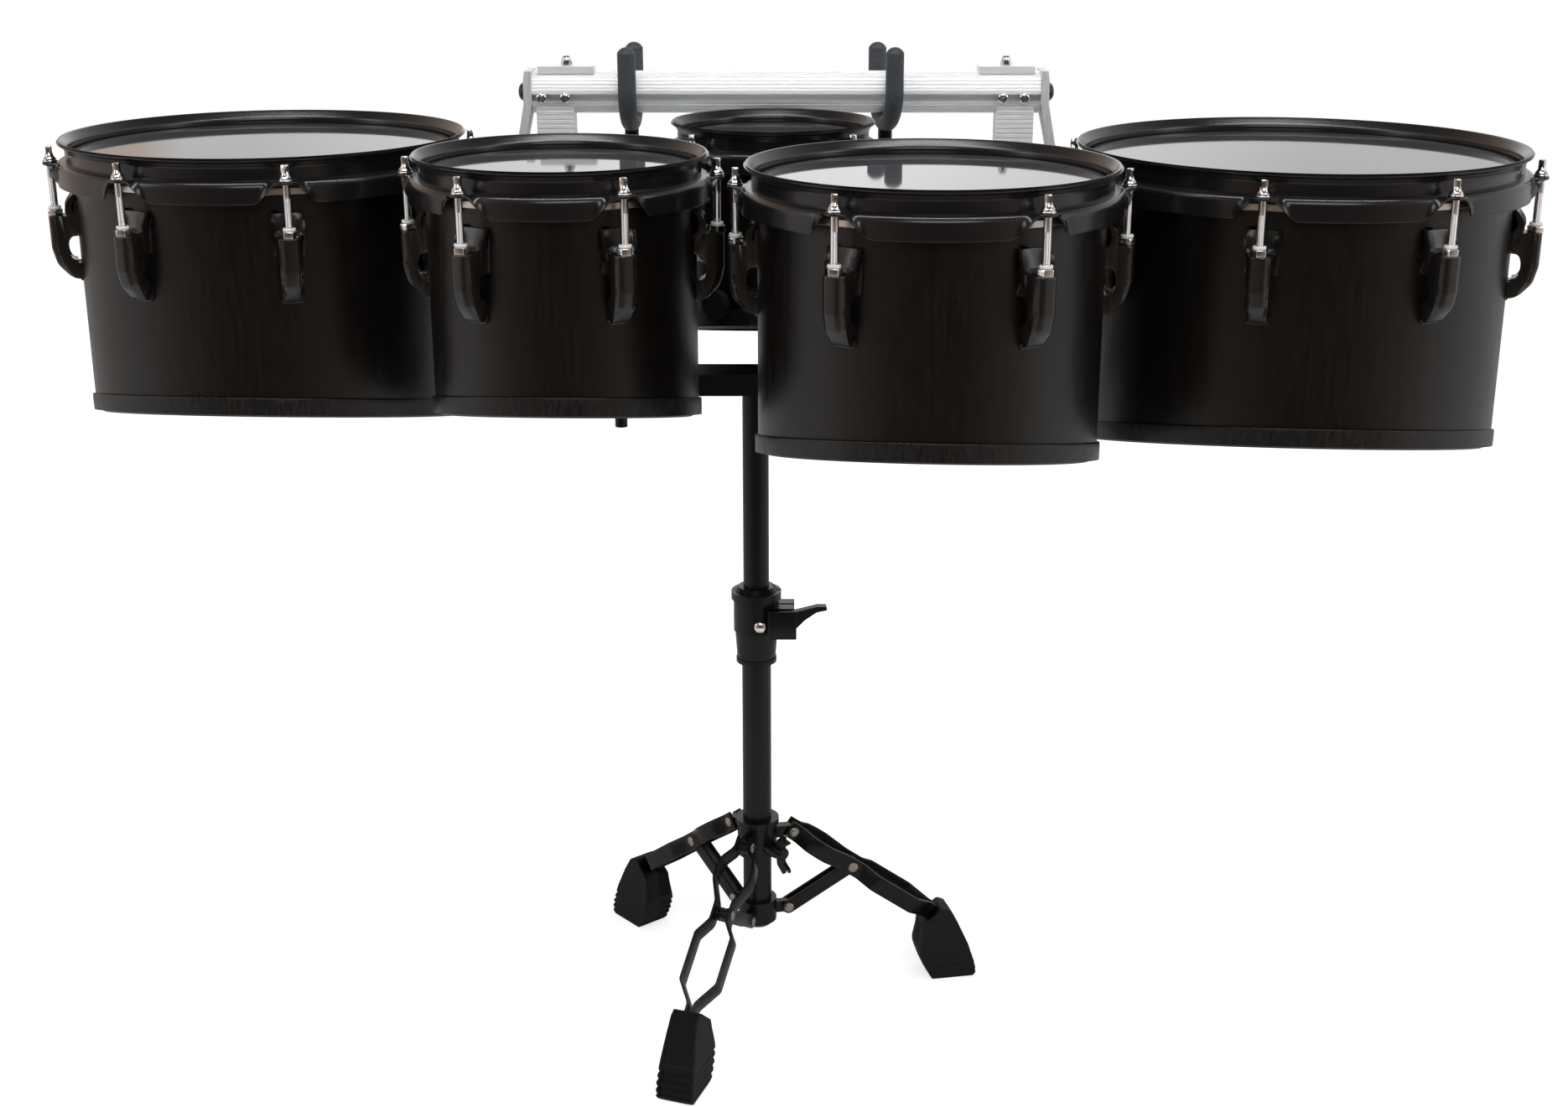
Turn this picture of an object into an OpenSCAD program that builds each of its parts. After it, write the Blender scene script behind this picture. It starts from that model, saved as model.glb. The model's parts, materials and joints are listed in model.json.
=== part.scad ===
// Marching tenor drums: five cut-bottom drums on one rail, hung on a folding tripod stand.
// Millimetres. +Z up, floor at z = 0, pole axis on the origin, audience side toward -Y.

/* [Drums] */
// shell outside diameter of the small centre drum, 6 inch
d_six = 152.4; // [140:0.1:165]
// shell outside diameter of the 8 inch drum
d_eight = 203.2; // [190:0.1:210]
// shell outside diameter of the 10 inch drum
d_ten = 254; // [240:0.1:260]
// shell outside diameter of the 12 inch drum
d_twelve = 304.8; // [295:0.1:308]
// shell outside diameter of the 13 inch drum
d_thirteen = 330.2; // [320:0.1:334]
// height of the hoop tops above the floor
lip_z = 780; // [760:1:800]
// shell wall, six-ply
wall = 6; // [4:0.5:9]
// slope of the slanted bottom cut, in degrees
cut = 13.3; // [8:0.1:16]
// head film below the hoop top
head_drop = 10.4; // [8:0.1:13]

/* [Hoops and lugs] */
// tension rod circle outside the shell
rod_off = 16; // [15:0.5:18]
// flared hoop lip outside the shell
lip_off = 10; // [8:0.5:10.5]
// folded hoop flange outside the shell
flange_off = 12.5; // [11:0.5:13]
// skirt edge of the hoop below its top
skirt = 34.6; // [30:0.2:36]
// tension rod diameter
rod_d = 6; // [5:0.1:6.4]
// width of a lug casting
lug_w = 16; // [14:0.5:18]
// rod seat of the lugs below the hoop top
lug_top = 59.5; // [57:0.5:64]
// lug height below its rod seat
lug_h = 52; // [50:1:58]
// foot of a lug above its rod seat
lug_rise = 17.5; // [14:0.5:19]

/* [Rail] */
// rail section across its ribs
rail_d = 37; // [34:0.5:38]
// rail length
rail_len = 452; // [430:1:470]
// rail centre behind the pole
rail_y = 201; // [198:0.5:204]
// rail centre above the hoop tops
rail_up = 10; // [8:0.5:12]

/* [Stand] */
// lower tube outside diameter
low_d = 25.4; // [24:0.1:27]
// upper tube outside diameter
up_d = 22.2; // [20:0.1:22.4]
// tube wall
tube_wall = 1.5; // [1:0.1:1.55]
// crossbar depth
bar_w = 40; // [34:1:42]
// crossbar height
bar_h = 18; // [14:1:22]
// hook rod diameter
hook_d = 10.8; // [9:0.1:11.2]
// outside diameter of the rubber hook sleeves
sleeve_d = 16; // [14:0.5:16.5]
// centre distance between the prongs of one hook
prong_gap = 58; // [56:0.5:62]
// distance between the two hook rods
hook_span = 228; // [222:1:232]
// radius of the circle through the feet
foot_r = 182; // [176:1:188]
// distance from a leg pivot to its brace
knee = 67; // [64:1:70]
// height of the leg strips
leg_h = 15.5; // [13:0.5:16]
// height of the brace strips
brace_h = 12; // [10:0.5:13]
// thickness of leg and brace strips
strip_t = 2.5; // [2:0.1:2.6]

/* [Fits] */
// radial play of sliding tubes and collars
slide_fit = 0.08; // [0.05:0.01:0.1]
// radial play of leg pivots
pivot_fit = 0.06; // [0.04:0.01:0.1]
// opened play of the brace pivots, which lets the fold be driven by straight ratios
fold_play = 1.5; // [1.2:0.1:1.8]
// gap between separate moving groups
body_gap = 0.3; // [0.25:0.05:0.5]
// paint-thin gap between pieces that are bolted together
seat = 0.05; // [0.03:0.01:0.08]

/* [Hidden] */
$fn = 96;

// per drum: x, y, radius, front height, height offset, lugs, first lug angle from -Y, cut heading
DR = [
  [15, 76, d_six / 2, 162, 0, 4, -45, 0],
  [-144, -125, d_eight / 2, 180.5, 0, 6, -92, -2],
  [131.5, -183, d_ten / 2, 192, 0, 6, -91, -5],
  [-400.7, 24.5, d_twelve / 2, 201, -4, 8, -72, -4],
  [430.5, -43.5, d_thirteen / 2, 205, -4, 8, -66, -5]];

// ear of the hoop
ear_top = -17;
ear_t = 3;
ear_half = 11.5;
// lug screws below the rod seat
lug_screw_z = [6.5, lug_h - 8.5];
rail_z = lip_z + rail_up;
rail_mid = 26;
arm_w = 22;
arm_h = 24;
arm_top = lip_z - 34;
arm_x = [rail_mid - rail_len / 2 + 20, rail_mid + rail_len / 2 - 22];
arm_y = [-6, -42];
foot_x = [[arm_x[0] - arm_w / 2, -118], [112, arm_x[1] + arm_w / 2]];
bar_top = 583;
bar_z = bar_top - bar_h / 2;
socket_d = 26;
sock_lo = 549;
sock_hi = 600;
hook_x = [1 - hook_span / 2, 1 + hook_span / 2];
hook_yaw = [-3, 13];
hook_lo = 534;
bend_r = 25;
bend_a = 67;
bend_z = 628;
slant_len = (rail_y - 2 * bend_r + 2 * bend_r * cos(bend_a)) / sin(bend_a);
bend_top = bend_z + 2 * bend_r * sin(bend_a) + slant_len * cos(bend_a);
boss_d = hook_d + 1.8;
straight_d = hook_d - 0.3;
u_z = rail_z + 2;
low_top = 382;
low_bot = 68;
piv_r = 32.5;
piv_z = 157.5;
leg_tilt = 36;
base_r = 28;
base_z = 82;
// half widths, from the middle of a leg outwards: collar lugs, brace and leg strips
base_lug = 3.1;
brace_in = base_lug + body_gap;
knee_in = brace_in + strip_t + 0.25;
piv_lug = 4.4;
piv_in = piv_lug + 0.25;
bow = 16.5;
plate_t = 3;
plate_low = ear_top - ear_t - 0.5 - plate_t;
post = [[-2, 95.5], [0, 33.5]];
leg_dir = [-109.5, 130.5, 10.5];
// where the strips dive into the boot, and where they end in it, along the leg
mouth = (foot_r - 24 - piv_r) / cos(leg_tilt);
leg_end = (foot_r - 10 - piv_r) / cos(leg_tilt);
piv_y = piv_in + strip_t / 2;
knee_y = knee_in + strip_t / 2;
tail_y = 3;
leg_path = [[-6, piv_y], [4, piv_y], [10, 8.5], [18, 14.5], [26, bow], [36, bow], [46, 13],
  [knee - 11, knee_y + 0.5], [knee - 5, knee_y], [knee + 7, knee_y], [knee + 12, 9],
  [knee + 23, bow], [mouth - 20, bow], [mouth, tail_y], [leg_end, tail_y]];
knee_r = piv_r + knee * cos(leg_tilt);
knee_z = piv_z - knee * sin(leg_tilt);
brace_len = sqrt(pow(knee_r - base_r, 2) + pow(knee_z - base_z, 2));
brace_up = atan2(knee_z - base_z, knee_r - base_r);
pin_d = 5;
mid_x = -20.471;
mid_y = 42.268;

// shift that puts the origin under the middle of the whole part
module place() {
  translate([mid_x, mid_y, 0])
    children();
}

// places its children on the axis of drum i, origin in the plane of the hoop top
module at_drum(i) {
  translate([DR[i][0], DR[i][1], lip_z + DR[i][4]])
    children();
}

// places its children at every lug of drum i, +x pointing away from the shell
module at_lugs(i) {
  at_drum(i)
    for (k = [0 : DR[i][5] - 1])
      rotate([0, 0, DR[i][6] + k * 360 / DR[i][5] - 90])
        children();
}

// everything below the slanted cut of drum i, lowered by drop
module below_cut(i, drop) {
  rotate([0, 0, DR[i][7]])
    translate([0, -DR[i][2], -DR[i][3] + 2 - drop])
      rotate([-cut, 0, 0])
        translate([-400, -300, -500])
          cube([800, 1200, 500]);
}

module tube(ro, ri, z0, z1) {
  translate([0, 0, z0])
    difference() {
      cylinder(r = ro, h = z1 - z0);
      translate([0, 0, -1])
        cylinder(r = ri, h = z1 - z0 + 2);
    }
}

// plied shell with a bevelled bearing edge, screw holes and a slanted open bottom
module shell(i) {
  r = DR[i][2];
  top = -head_drop - 0.7;
  place() color([0.06, 0.055, 0.055])
    at_drum(i)
      difference() {
        rotate_extrude()
          polygon([[r - wall, -330], [r, -330], [r, top - 2.4], [r - 2.4, top],
            [r - 3.2, top], [r - wall, top - 2.8]]);
        below_cut(i, 0);
        for (k = [0 : DR[i][5] - 1])
          rotate([0, 0, DR[i][6] + k * 360 / DR[i][5] - 90])
            for (z = lug_screw_z)
              translate([r - wall - 1, 0, -lug_top - z])
                rotate([0, 90, 0])
                  cylinder(d = 5.2, h = wall + 2, $fn = 32);
      }
}

module shell_six() { shell(0); }
module shell_eight() { shell(1); }
module shell_ten() { shell(2); }
module shell_twelve() { shell(3); }
module shell_thirteen() { shell(4); }

// flared counter-hoop: lip, band, folded flange cut away at each flat ear
module hoop(i) {
  r = DR[i][2];
  place() color([0.05, 0.05, 0.055])
    at_drum(i)
      difference() {
        union() {
          difference() {
            rotate_extrude()
              polygon([[r + 2, -22.7], [r + 2, -7.5], [r + 3, -4.6], [r + 5, -2.2], [r + 7.4, -0.5],
                [r + 8.8, 0], [r + lip_off - 0.3, -0.7], [r + lip_off, -1.8], [r + lip_off - 0.6, -2.8],
                [r + 7.6, -3.4], [r + 5.8, -5.2], [r + 4.3, -8.5], [r + 4.3, ear_top],
                [r + flange_off - 2.6, ear_top], [r + flange_off - 0.8, ear_top - 0.8],
                [r + flange_off, ear_top - 2.6], [r + flange_off, 1.4 - skirt], [r + flange_off - 1, -skirt],
                [r + flange_off - 2.2, 0.8 - skirt], [r + flange_off - 2.4, -21.4],
                [r + flange_off - 3.6, ear_top - ear_t], [r + 4.3, ear_top - ear_t],
                [r + 4.3, -22.7]]);
            for (k = [0 : DR[i][5] - 1])
              rotate([0, 0, DR[i][6] + k * 360 / DR[i][5] - 90])
                translate([r + 5.5, 0, 0])
                  rotate([90, 0, 90])
                    linear_extrude(12)
                      polygon([[-ear_half, -20.2], [ear_half, -20.2], [ear_half + 3, -24.5],
                        [ear_half + 6, -skirt - 2], [-ear_half - 6, -skirt - 2], [-ear_half - 3, -24.5]]);
          }
          for (k = [0 : DR[i][5] - 1])
            rotate([0, 0, DR[i][6] + k * 360 / DR[i][5] - 90]) {
              translate([r + 3.4, -ear_half, ear_top - ear_t - 0.3])
                cube([rod_off - 6, 2 * ear_half, ear_t + 0.35]);
              translate([r + rod_off, 0, ear_top - ear_t - 0.3])
                cylinder(d = 12.6, h = ear_t + 0.35, $fn = 48);
              translate([r + 8, -9, ear_top - ear_t - 0.3])
                cube([rod_off - 7, 18, ear_t + 0.35]);
            }
        }
        for (k = [0 : DR[i][5] - 1])
          rotate([0, 0, DR[i][6] + k * 360 / DR[i][5] - 90])
            translate([r + rod_off, 0, -30])
              cylinder(d = rod_d + 1, h = 20, $fn = 32);
      }
}

module hoop_six() { hoop(0); }
module hoop_eight() { hoop(1); }
module hoop_ten() { hoop(2); }
module hoop_twelve() { hoop(3); }
module hoop_thirteen() { hoop(4); }

// head: film drawn over the bearing edge, bonded into its flat flesh ring
module head(i) {
  r = DR[i][2];
  t = -head_drop;
  place() color([0.30, 0.31, 0.33])
    at_drum(i)
      rotate_extrude()
        polygon([[0, t - 0.6], [0, t], [r - 2.2, t], [r - 0.2, t - 1.2], [r + 1, t - 2.8],
          [r + 1, -22.8], [r + 4.4, -22.8], [r + 4.4, -29.6], [r + 0.3, -29.6], [r + 0.3, t - 3],
          [r - 2.5, t - 0.6]]);
}

module head_six() { head(0); }
module head_eight() { head(1); }
module head_ten() { head(2); }
module head_twelve() { head(3); }
module head_thirteen() { head(4); }

// channel-shaped edge guard pushed over the slanted bottom edge
module edge_trims() {
  place() color([0.10, 0.10, 0.10])
    for (i = [0 : 4])
      at_drum(i)
        difference() {
          intersection() {
            tube(DR[i][2] + 2, DR[i][2] - wall - 2, -330, -60);
            below_cut(i, -14);
          }
          below_cut(i, 2);
          difference() {
            tube(DR[i][2] + seat, DR[i][2] - wall - seat, -340, -50);
            below_cut(i, seat);
          }
        }
}

// side outline of a lug, x away from the shell and y up from the rod seat
module lug_side() {
  difference() {
    polygon([[-3, lug_rise], [1.6, lug_rise], [2.8, lug_rise - 1.6], [3.6, lug_rise - 6.5],
      [5.2, 5], [7.2, 1.6], [9.4, 0], [rod_off + 4.6, 0], [rod_off + 5.6, -1.2],
      [rod_off + 5.6, 24 - lug_h], [rod_off + 4.8, 19 - lug_h], [rod_off + 2.6, 14.5 - lug_h],
      [rod_off - 1.8, 8.2 - lug_h], [rod_off - 7, 3.8 - lug_h], [4, 1.2 - lug_h], [-3, -lug_h]]);
    translate([1.8, lug_h / 2 - lug_h])
      circle(r = 9.7, $fn = 48);
  }
}

// plate with rounded corners, w wide and from z0 to z1, standing on the shell
module lug_foot(r, w, z0, z1, t) {
  corner = 5;
  translate([r - 3, 0, 0])
    rotate([90, 0, 90])
      linear_extrude(t + 3) {
        translate([-w / 2 + corner, z0])
          square([w - 2 * corner, z1 - z0]);
        translate([-w / 2, z0 + corner])
          square([w, z1 - z0 - 2 * corner]);
        for (y = [corner - w / 2, w / 2 - corner])
          for (z = [z0 + corner, z1 - corner])
            translate([y, z])
              circle(r = corner, $fn = 32);
      }
}

module one_lug(r) {
  nose = lug_w / 2;
  translate([0, 0, -lug_top])
    difference() {
      union() {
        intersection() {
          translate([r, lug_w / 2, 0])
            rotate([90, 0, 0])
              linear_extrude(lug_w)
                lug_side();
          union() {
            translate([r + rod_off + 5.6 - nose, 0, -lug_h - 1])
              cylinder(r = nose, h = lug_h + 2, $fn = 64);
            translate([r - 4, -lug_w / 2 - 1, -lug_h - 1])
              cube([rod_off + 9.6 - nose, lug_w + 2, lug_h + lug_rise + 2]);
          }
          union() {
            translate([r - 4, -lug_w / 2 - 1, nose - lug_h])
              cube([rod_off + 12, lug_w + 2, lug_h + lug_rise]);
            translate([r - 4, 0, nose - lug_h])
              rotate([0, 90, 0])
                cylinder(r = nose, h = rod_off + 12, $fn = 64);
          }
        }
        lug_foot(r, lug_w + 12, -16, lug_rise + 0.6, 1.6);
        lug_foot(r, lug_w + 4, -lug_h - 0.8, 15.2 - lug_h, 1.6);
      }
      translate([0, 0, -lug_h - 20])
        cylinder(r = r + seat, h = lug_h + 60, $fn = 128);
      translate([r + rod_off, 0, -30])
        cylinder(d = rod_d + 0.4, h = 60, $fn = 32);
      for (z = lug_screw_z)
        translate([r - 4, 0, -z])
          rotate([0, 90, 0])
            cylinder(d = 4, h = 9, $fn = 32);
    }
}

module lugs() {
  place() color([0.05, 0.05, 0.055])
    for (i = [0 : 4])
      at_lugs(i)
        one_lug(DR[i][2]);
}

// tension rod: square key head, collar and threaded shank
module tension_rods() {
  place() color([0.80, 0.80, 0.82])
    for (i = [0 : 4])
      at_lugs(i)
        translate([DR[i][2] + rod_off, 0, 0]) {
          translate([0, 0, -lug_top - 28])
            cylinder(d = rod_d, h = lug_top + 28 + ear_top + 3, $fn = 32);
          translate([0, 0, ear_top + 1.5])
            cylinder(d = 9.8, h = 1.4, $fn = 32);
          translate([0, 0, ear_top + 2.9])
            cylinder(d1 = 9, d2 = 5.4, h = 4.6, $fn = 32);
          translate([-2.5, -2.5, ear_top + 5])
            cube([5, 5, 7.6]);
        }
}

module rod_washers() {
  place() color([0.78, 0.78, 0.80])
    for (i = [0 : 4])
      at_lugs(i)
        translate([DR[i][2] + rod_off, 0, 0])
          tube(5.6, rod_d / 2 + 0.2, ear_top + 0.06, ear_top + 1.46);
}

module lug_nuts() {
  place() color([0.80, 0.80, 0.82])
    for (i = [0 : 4])
      at_lugs(i)
        translate([DR[i][2] + rod_off, 0, -lug_top + seat])
          difference() {
            cylinder(d = 12.4, h = 5, $fn = 6);
            translate([0, 0, -1])
              cylinder(d = rod_d + 0.02, h = 7, $fn = 32);
          }
}

module nylon_washers() {
  place() color([0.86, 0.86, 0.84])
    for (i = [0 : 4])
      at_lugs(i)
        translate([DR[i][2] + rod_off, 0, 0])
          tube(4.9, rod_d / 2 + 0.2, -lug_top + 5 + 2 * seat, -lug_top + 7.5);
}

// pan-head screws driven from inside each shell into its lugs
module lug_screws() {
  place() color([0.70, 0.70, 0.72])
    for (i = [0 : 4])
      at_lugs(i)
        for (z = lug_screw_z)
          translate([DR[i][2] - wall, 0, -lug_top - z])
            rotate([0, 90, 0]) {
              translate([0, 0, -2.75])
                cylinder(d = 9, h = 2.5, $fn = 32);
              translate([0, 0, -1])
                cylinder(d = 3.9, h = wall + 5, $fn = 32);
            }
}

// section of the ribbed rail, x toward the audience side and y up
module rail_section() {
  r = rail_d / 2;
  difference() {
    circle(r = r, $fn = 96);
    circle(r = r - 3.2, $fn = 96);
    for (a = [-62 : 11 : -29])
      rotate(a)
        translate([r, 0])
          square([1.4, 1.1], center = true);
    for (a = [29 : 9.2 : 150])
      rotate(a)
        translate([r, 0])
          square([1.2, 0.9], center = true);
    translate([r - 4.4, -3.6])
      square([8, 7.2]);
  }
  difference() {
    translate([r - 9.4, -8])
      square([8.6, 16]);
    translate([r - 5.4, -3.6])
      square([8, 7.2]);
    translate([r - 7.6, -6])
      square([4.6, 12]);
  }
}

module rail() {
  place() color([0.84, 0.85, 0.87])
    difference() {
      translate([rail_mid - rail_len / 2, rail_y, rail_z])
        rotate([90, 0, 90])
          mirror([1, 0, 0])
            linear_extrude(rail_len)
              rail_section();
      for (s = [-1, 1])
        translate([rail_mid + s * (rail_len / 2 - 30), rail_y, rail_z])
          cylinder(d = 6.2, h = 30, $fn = 32);
    }
}

// leaning aluminium cheek at each rail end
module rail_end_plates() {
  place() color([0.80, 0.81, 0.82])
    for (s = [-1, 1])
      translate([rail_mid + s * (rail_len / 2 + seat), rail_y, rail_z])
        difference() {
          rotate([90, 0, 0])
            linear_extrude(36, center = true)
              polygon([[0, 19.5], [s * 6, 19.5], [s * 7.5, 9.5], [s * 7.5, -9.5], [s * 17, -58],
                [s * 11, -58], [0, -9]]);
          translate([-s, 0, 0])
            rotate([0, 90 * s, 0])
              cylinder(d = 8.2, h = 30, $fn = 32);
        }
}

module end_bolts() {
  place() color([0.10, 0.10, 0.10])
    for (s = [-1, 1])
      translate([rail_mid + s * (rail_len / 2 + 7.6), rail_y, rail_z])
        rotate([0, 90 * s, 0]) {
          translate([0, 0, -24])
            cylinder(d = 8, h = 24.5, $fn = 32);
          rotate_extrude($fn = 48)
            polygon([[0, 0], [8, 0], [8, 1.5], [7.3, 3.3], [5.6, 4.8], [3, 5.8], [0, 5.8]]);
        }
}

// saddle plates on top of the rail ends
module top_clamps() {
  place() color([0.84, 0.85, 0.87])
    for (s = [-1, 1])
      translate([rail_mid + s * (rail_len / 2 - 30), rail_y, rail_z])
        difference() {
          translate([-25, -11, rail_d / 2 - 2])
            cube([50, 22, 6.5]);
          rotate([0, 90, 0])
            cylinder(d = rail_d + 2 * seat, h = 80, center = true, $fn = 96);
          cylinder(d = 6.2, h = 60, $fn = 32);
        }
}

module clamp_studs() {
  place() color([0.80, 0.80, 0.82])
    for (s = [-1, 1])
      translate([rail_mid + s * (rail_len / 2 - 30), rail_y, rail_z + rail_d / 2]) {
        translate([0, 0, -5])
          cylinder(d = 6, h = 11, $fn = 32);
        translate([0, 0, 4.6])
          cylinder(d = 10, h = 3.4, $fn = 6);
        rotate_extrude($fn = 32)
          polygon([[0, 7], [4.3, 7], [4.3, 9.6], [3.7, 11.6], [2.3, 13.2], [0, 13.2]]);
      }
}

// button-head screws in the front slot of the rail
module rail_screws() {
  place() color([0.78, 0.78, 0.80])
    for (x = [arm_x[0] - 11.5, arm_x[0] + 9.5, arm_x[1] - 11.5, arm_x[1] + 7.5])
      translate([x, rail_y - rail_d / 2 + 0.3, rail_z])
        rotate([90, 0, 0])
          difference() {
            union() {
              translate([0, 0, -5])
                cylinder(d = 5, h = 6, $fn = 32);
              intersection() {
                cylinder(d = 9.5, h = 3.6, $fn = 32);
                translate([0, 0, -2.6])
                  sphere(d = 12.4, $fn = 48);
              }
            }
            translate([0, 0, 2])
              cylinder(d = 3.4, h = 4, $fn = 6);
          }
}

// ribbed blocks between the rail and the side arms
module riser_blocks() {
  place() color([0.80, 0.81, 0.83])
    for (x = arm_x)
      difference() {
        translate([x - 16.5, rail_y - 15, arm_top])
          cube([33, 30, rail_z - arm_top - 12]);
        translate([x, rail_y, rail_z])
          rotate([0, 90, 0])
            cylinder(d = rail_d + 2 * seat, h = 60, center = true, $fn = 96);
        for (z = [arm_top + 3 : 4 : rail_z - 20])
          for (s = [-1, 1])
            translate([x - 20, rail_y + s * 15 - 0.6, z])
              cube([40, 1.2, 1.4]);
      }
}

// box arms that run forward from the risers between the drums, each with a cross foot and a post
module side_arms() {
  place() color([0.09, 0.09, 0.09])
    for (i = [0, 1])
      translate([0, 0, arm_top - arm_h - seat]) {
        difference() {
          translate([arm_x[i] - arm_w / 2, arm_y[i], 0])
            cube([arm_w, rail_y + 15 - arm_y[i], arm_h]);
          translate([arm_x[i] - arm_w / 2 + 2.5, arm_y[i] + 24, 2.5])
            cube([arm_w - 5, 400, arm_h - 5]);
        }
        translate([foot_x[i][0], arm_y[i], 2])
          cube([foot_x[i][1] - foot_x[i][0], arm_w, arm_h - 4]);
        translate([arm_x[i] + post[i][0], post[i][1], arm_h - 1])
          cylinder(d = 9, h = lip_z + DR[i + 3][4] + plate_low - arm_top + 1, $fn = 48);
      }
}

// one bracket: saddle plate against the shell of drum i and a tongue to the arm, heading a
module bracket(i, a, reach) {
  r = DR[i][2];
  translate([DR[i][0], DR[i][1], arm_top - arm_h])
    rotate([0, 0, a - 90])
      difference() {
        union() {
          translate([r - 8, -19, -8])
            cube([12, 38, 26]);
          translate([r, -13, 5])
            cube([reach, 26, 14]);
        }
        translate([0, 0, -60])
          cylinder(r = r + 0.6, h = 160, $fn = 128);
      }
}

module drum_brackets() {
  place() color([0.12, 0.12, 0.12])
    difference() {
      union() {
        bracket(3, 88, foot_x[0][0] - DR[3][0] - DR[3][2] + 8.7);
        bracket(1, 178, 30);
        bracket(2, 179, 30);
        bracket(4, -98, DR[4][0] - DR[4][2] - foot_x[1][1] + 11.6);
      }
      for (i = [0, 1])
        translate([arm_x[i] - arm_w / 2 - seat, -80, arm_top - arm_h - 30])
          cube([arm_w + 2 * seat, 330, 80]);
      for (i = [0, 1])
        translate([foot_x[i][0], arm_y[i] - seat, arm_top - arm_h - 30])
          cube([foot_x[i][1] - foot_x[i][0], 60, 80]);
      for (i = [1 : 4])
        at_drum(i)
          translate([0, 0, -300])
            cylinder(r = DR[i][2] + 2 * seat, h = 300, $fn = 128);
    }
}

// perforated plates clamped under one hoop ear of each outer drum
module mount_plates() {
  place() color([0.16, 0.16, 0.17])
    for (m = [[3, 108, 66], [4, -111, 44]])
      at_drum(m[0])
        rotate([0, 0, m[1] - 90])
          translate([DR[m[0]][2] + rod_off, 0, plate_low])
            difference() {
              union() {
                cylinder(d = 20, h = plate_t, $fn = 48);
                translate([0, -10, 0])
                  cube([m[2], 20, plate_t]);
              }
              translate([0, 0, -1])
                cylinder(d = rod_d + 1, h = 5, $fn = 32);
              for (x = [13, 22, 31])
                for (y = [-5, 5])
                  translate([x, y, -1])
                    cylinder(d = 4.2, h = 5, $fn = 32);
            }
}

// hanger from the rail to the back of the small centre drum
module spock_bracket() {
  place() color([0.12, 0.12, 0.12])
    difference() {
      union() {
        translate([DR[0][0] - 28, rail_y - 14, lip_z - 84])
          cube([56, 9, 78]);
        translate([DR[0][0] - 20, DR[0][1] + DR[0][2] - 8, lip_z - 82])
          cube([40, rail_y - DR[0][1] - DR[0][2] - 5.9, 34]);
      }
      translate([0, rail_y, rail_z])
        rotate([0, 90, 0])
          cylinder(d = rail_d + 2 * seat, h = 400, center = true, $fn = 96);
      translate([DR[0][0], DR[0][1], 500])
        cylinder(r = DR[0][2] + 2 * seat, h = 400, $fn = 128);
      for (s = [-1, 1])
        translate([DR[0][0] + s * 21, rail_y - 30, lip_z - 30])
          rotate([-90, 0, 0])
            cylinder(d = 6, h = 40, $fn = 32);
    }
}

// round rubber bumper low on the small centre drum
module spock_bumper() {
  place() color([0.07, 0.07, 0.07])
    translate([DR[0][0], DR[0][1], lip_z - 143])
      rotate([0, 0, -34.5 - 90])
        difference() {
          translate([DR[0][2] - 6, 0, 0])
            rotate([0, 90, 0]) {
              cylinder(d = 8, h = 12, $fn = 48);
              translate([0, 0, 10])
                cylinder(d = 23, h = 8, $fn = 64);
            }
          translate([0, 0, -40])
            cylinder(r = DR[0][2] + seat, h = 80, $fn = 128);
        }
}

// telescoping upper tube
module upper_tube() {
  place() color([0.05, 0.05, 0.05])
    tube(up_d / 2, up_d / 2 - tube_wall, 215, bar_top - bar_h - seat);
}

// flat crossbar with a welded vertical socket at each end
module crossbar() {
  place() color([0.05, 0.05, 0.05])
    difference() {
      union() {
        difference() {
          translate([hook_x[0], -bar_w / 2, bar_top - bar_h])
            cube([hook_span, bar_w, bar_h]);
          translate([hook_x[0] - 1, -bar_w / 2 + 2, bar_top - bar_h + 2])
            cube([hook_span + 2, bar_w - 4, bar_h - 4]);
        }
        translate([0, 0, bar_top - bar_h])
          cylinder(d = up_d + 6, h = bar_h - 1, $fn = 64);
        for (i = [0, 1])
          translate([hook_x[i], 0, sock_lo]) {
            cylinder(d = socket_d, h = sock_hi - sock_lo, $fn = 64);
            translate([0, 0, 18])
              rotate([0, 90 * (2 * i - 1), 0])
                cylinder(d = 15, h = 19, $fn = 48);
          }
      }
      for (i = [0, 1])
        translate([hook_x[i], 0, sock_lo - 1])
          cylinder(d = straight_d + 2 * slide_fit, h = sock_hi - sock_lo + 2, $fn = 64);
      for (i = [0, 1])
        translate([hook_x[i], 0, sock_lo + 18])
          rotate([0, 90 * (2 * i - 1), 0])
            cylinder(d = 8, h = 30, $fn = 32);
    }
}

// rubber buffers the two front shells lean on
module rest_buffers() {
  place() color([0.07, 0.07, 0.07])
    for (m = [[1, -90], [2, 100]]) {
      dx = m[1] - DR[m[0]][0];
      y0 = DR[m[0]][1] + sqrt(pow(DR[m[0]][2], 2) - dx * dx);
      difference() {
        translate([m[1], -bar_w / 2 - seat, bar_z])
          rotate([90, 0, 0])
            cylinder(d = 16, h = -bar_w / 2 - y0 + 8, $fn = 48);
        translate([DR[m[0]][0], DR[m[0]][1], bar_z - 20])
          cylinder(r = DR[m[0]][2] + body_gap + 2, h = 40, $fn = 128);
      }
    }
}

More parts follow.
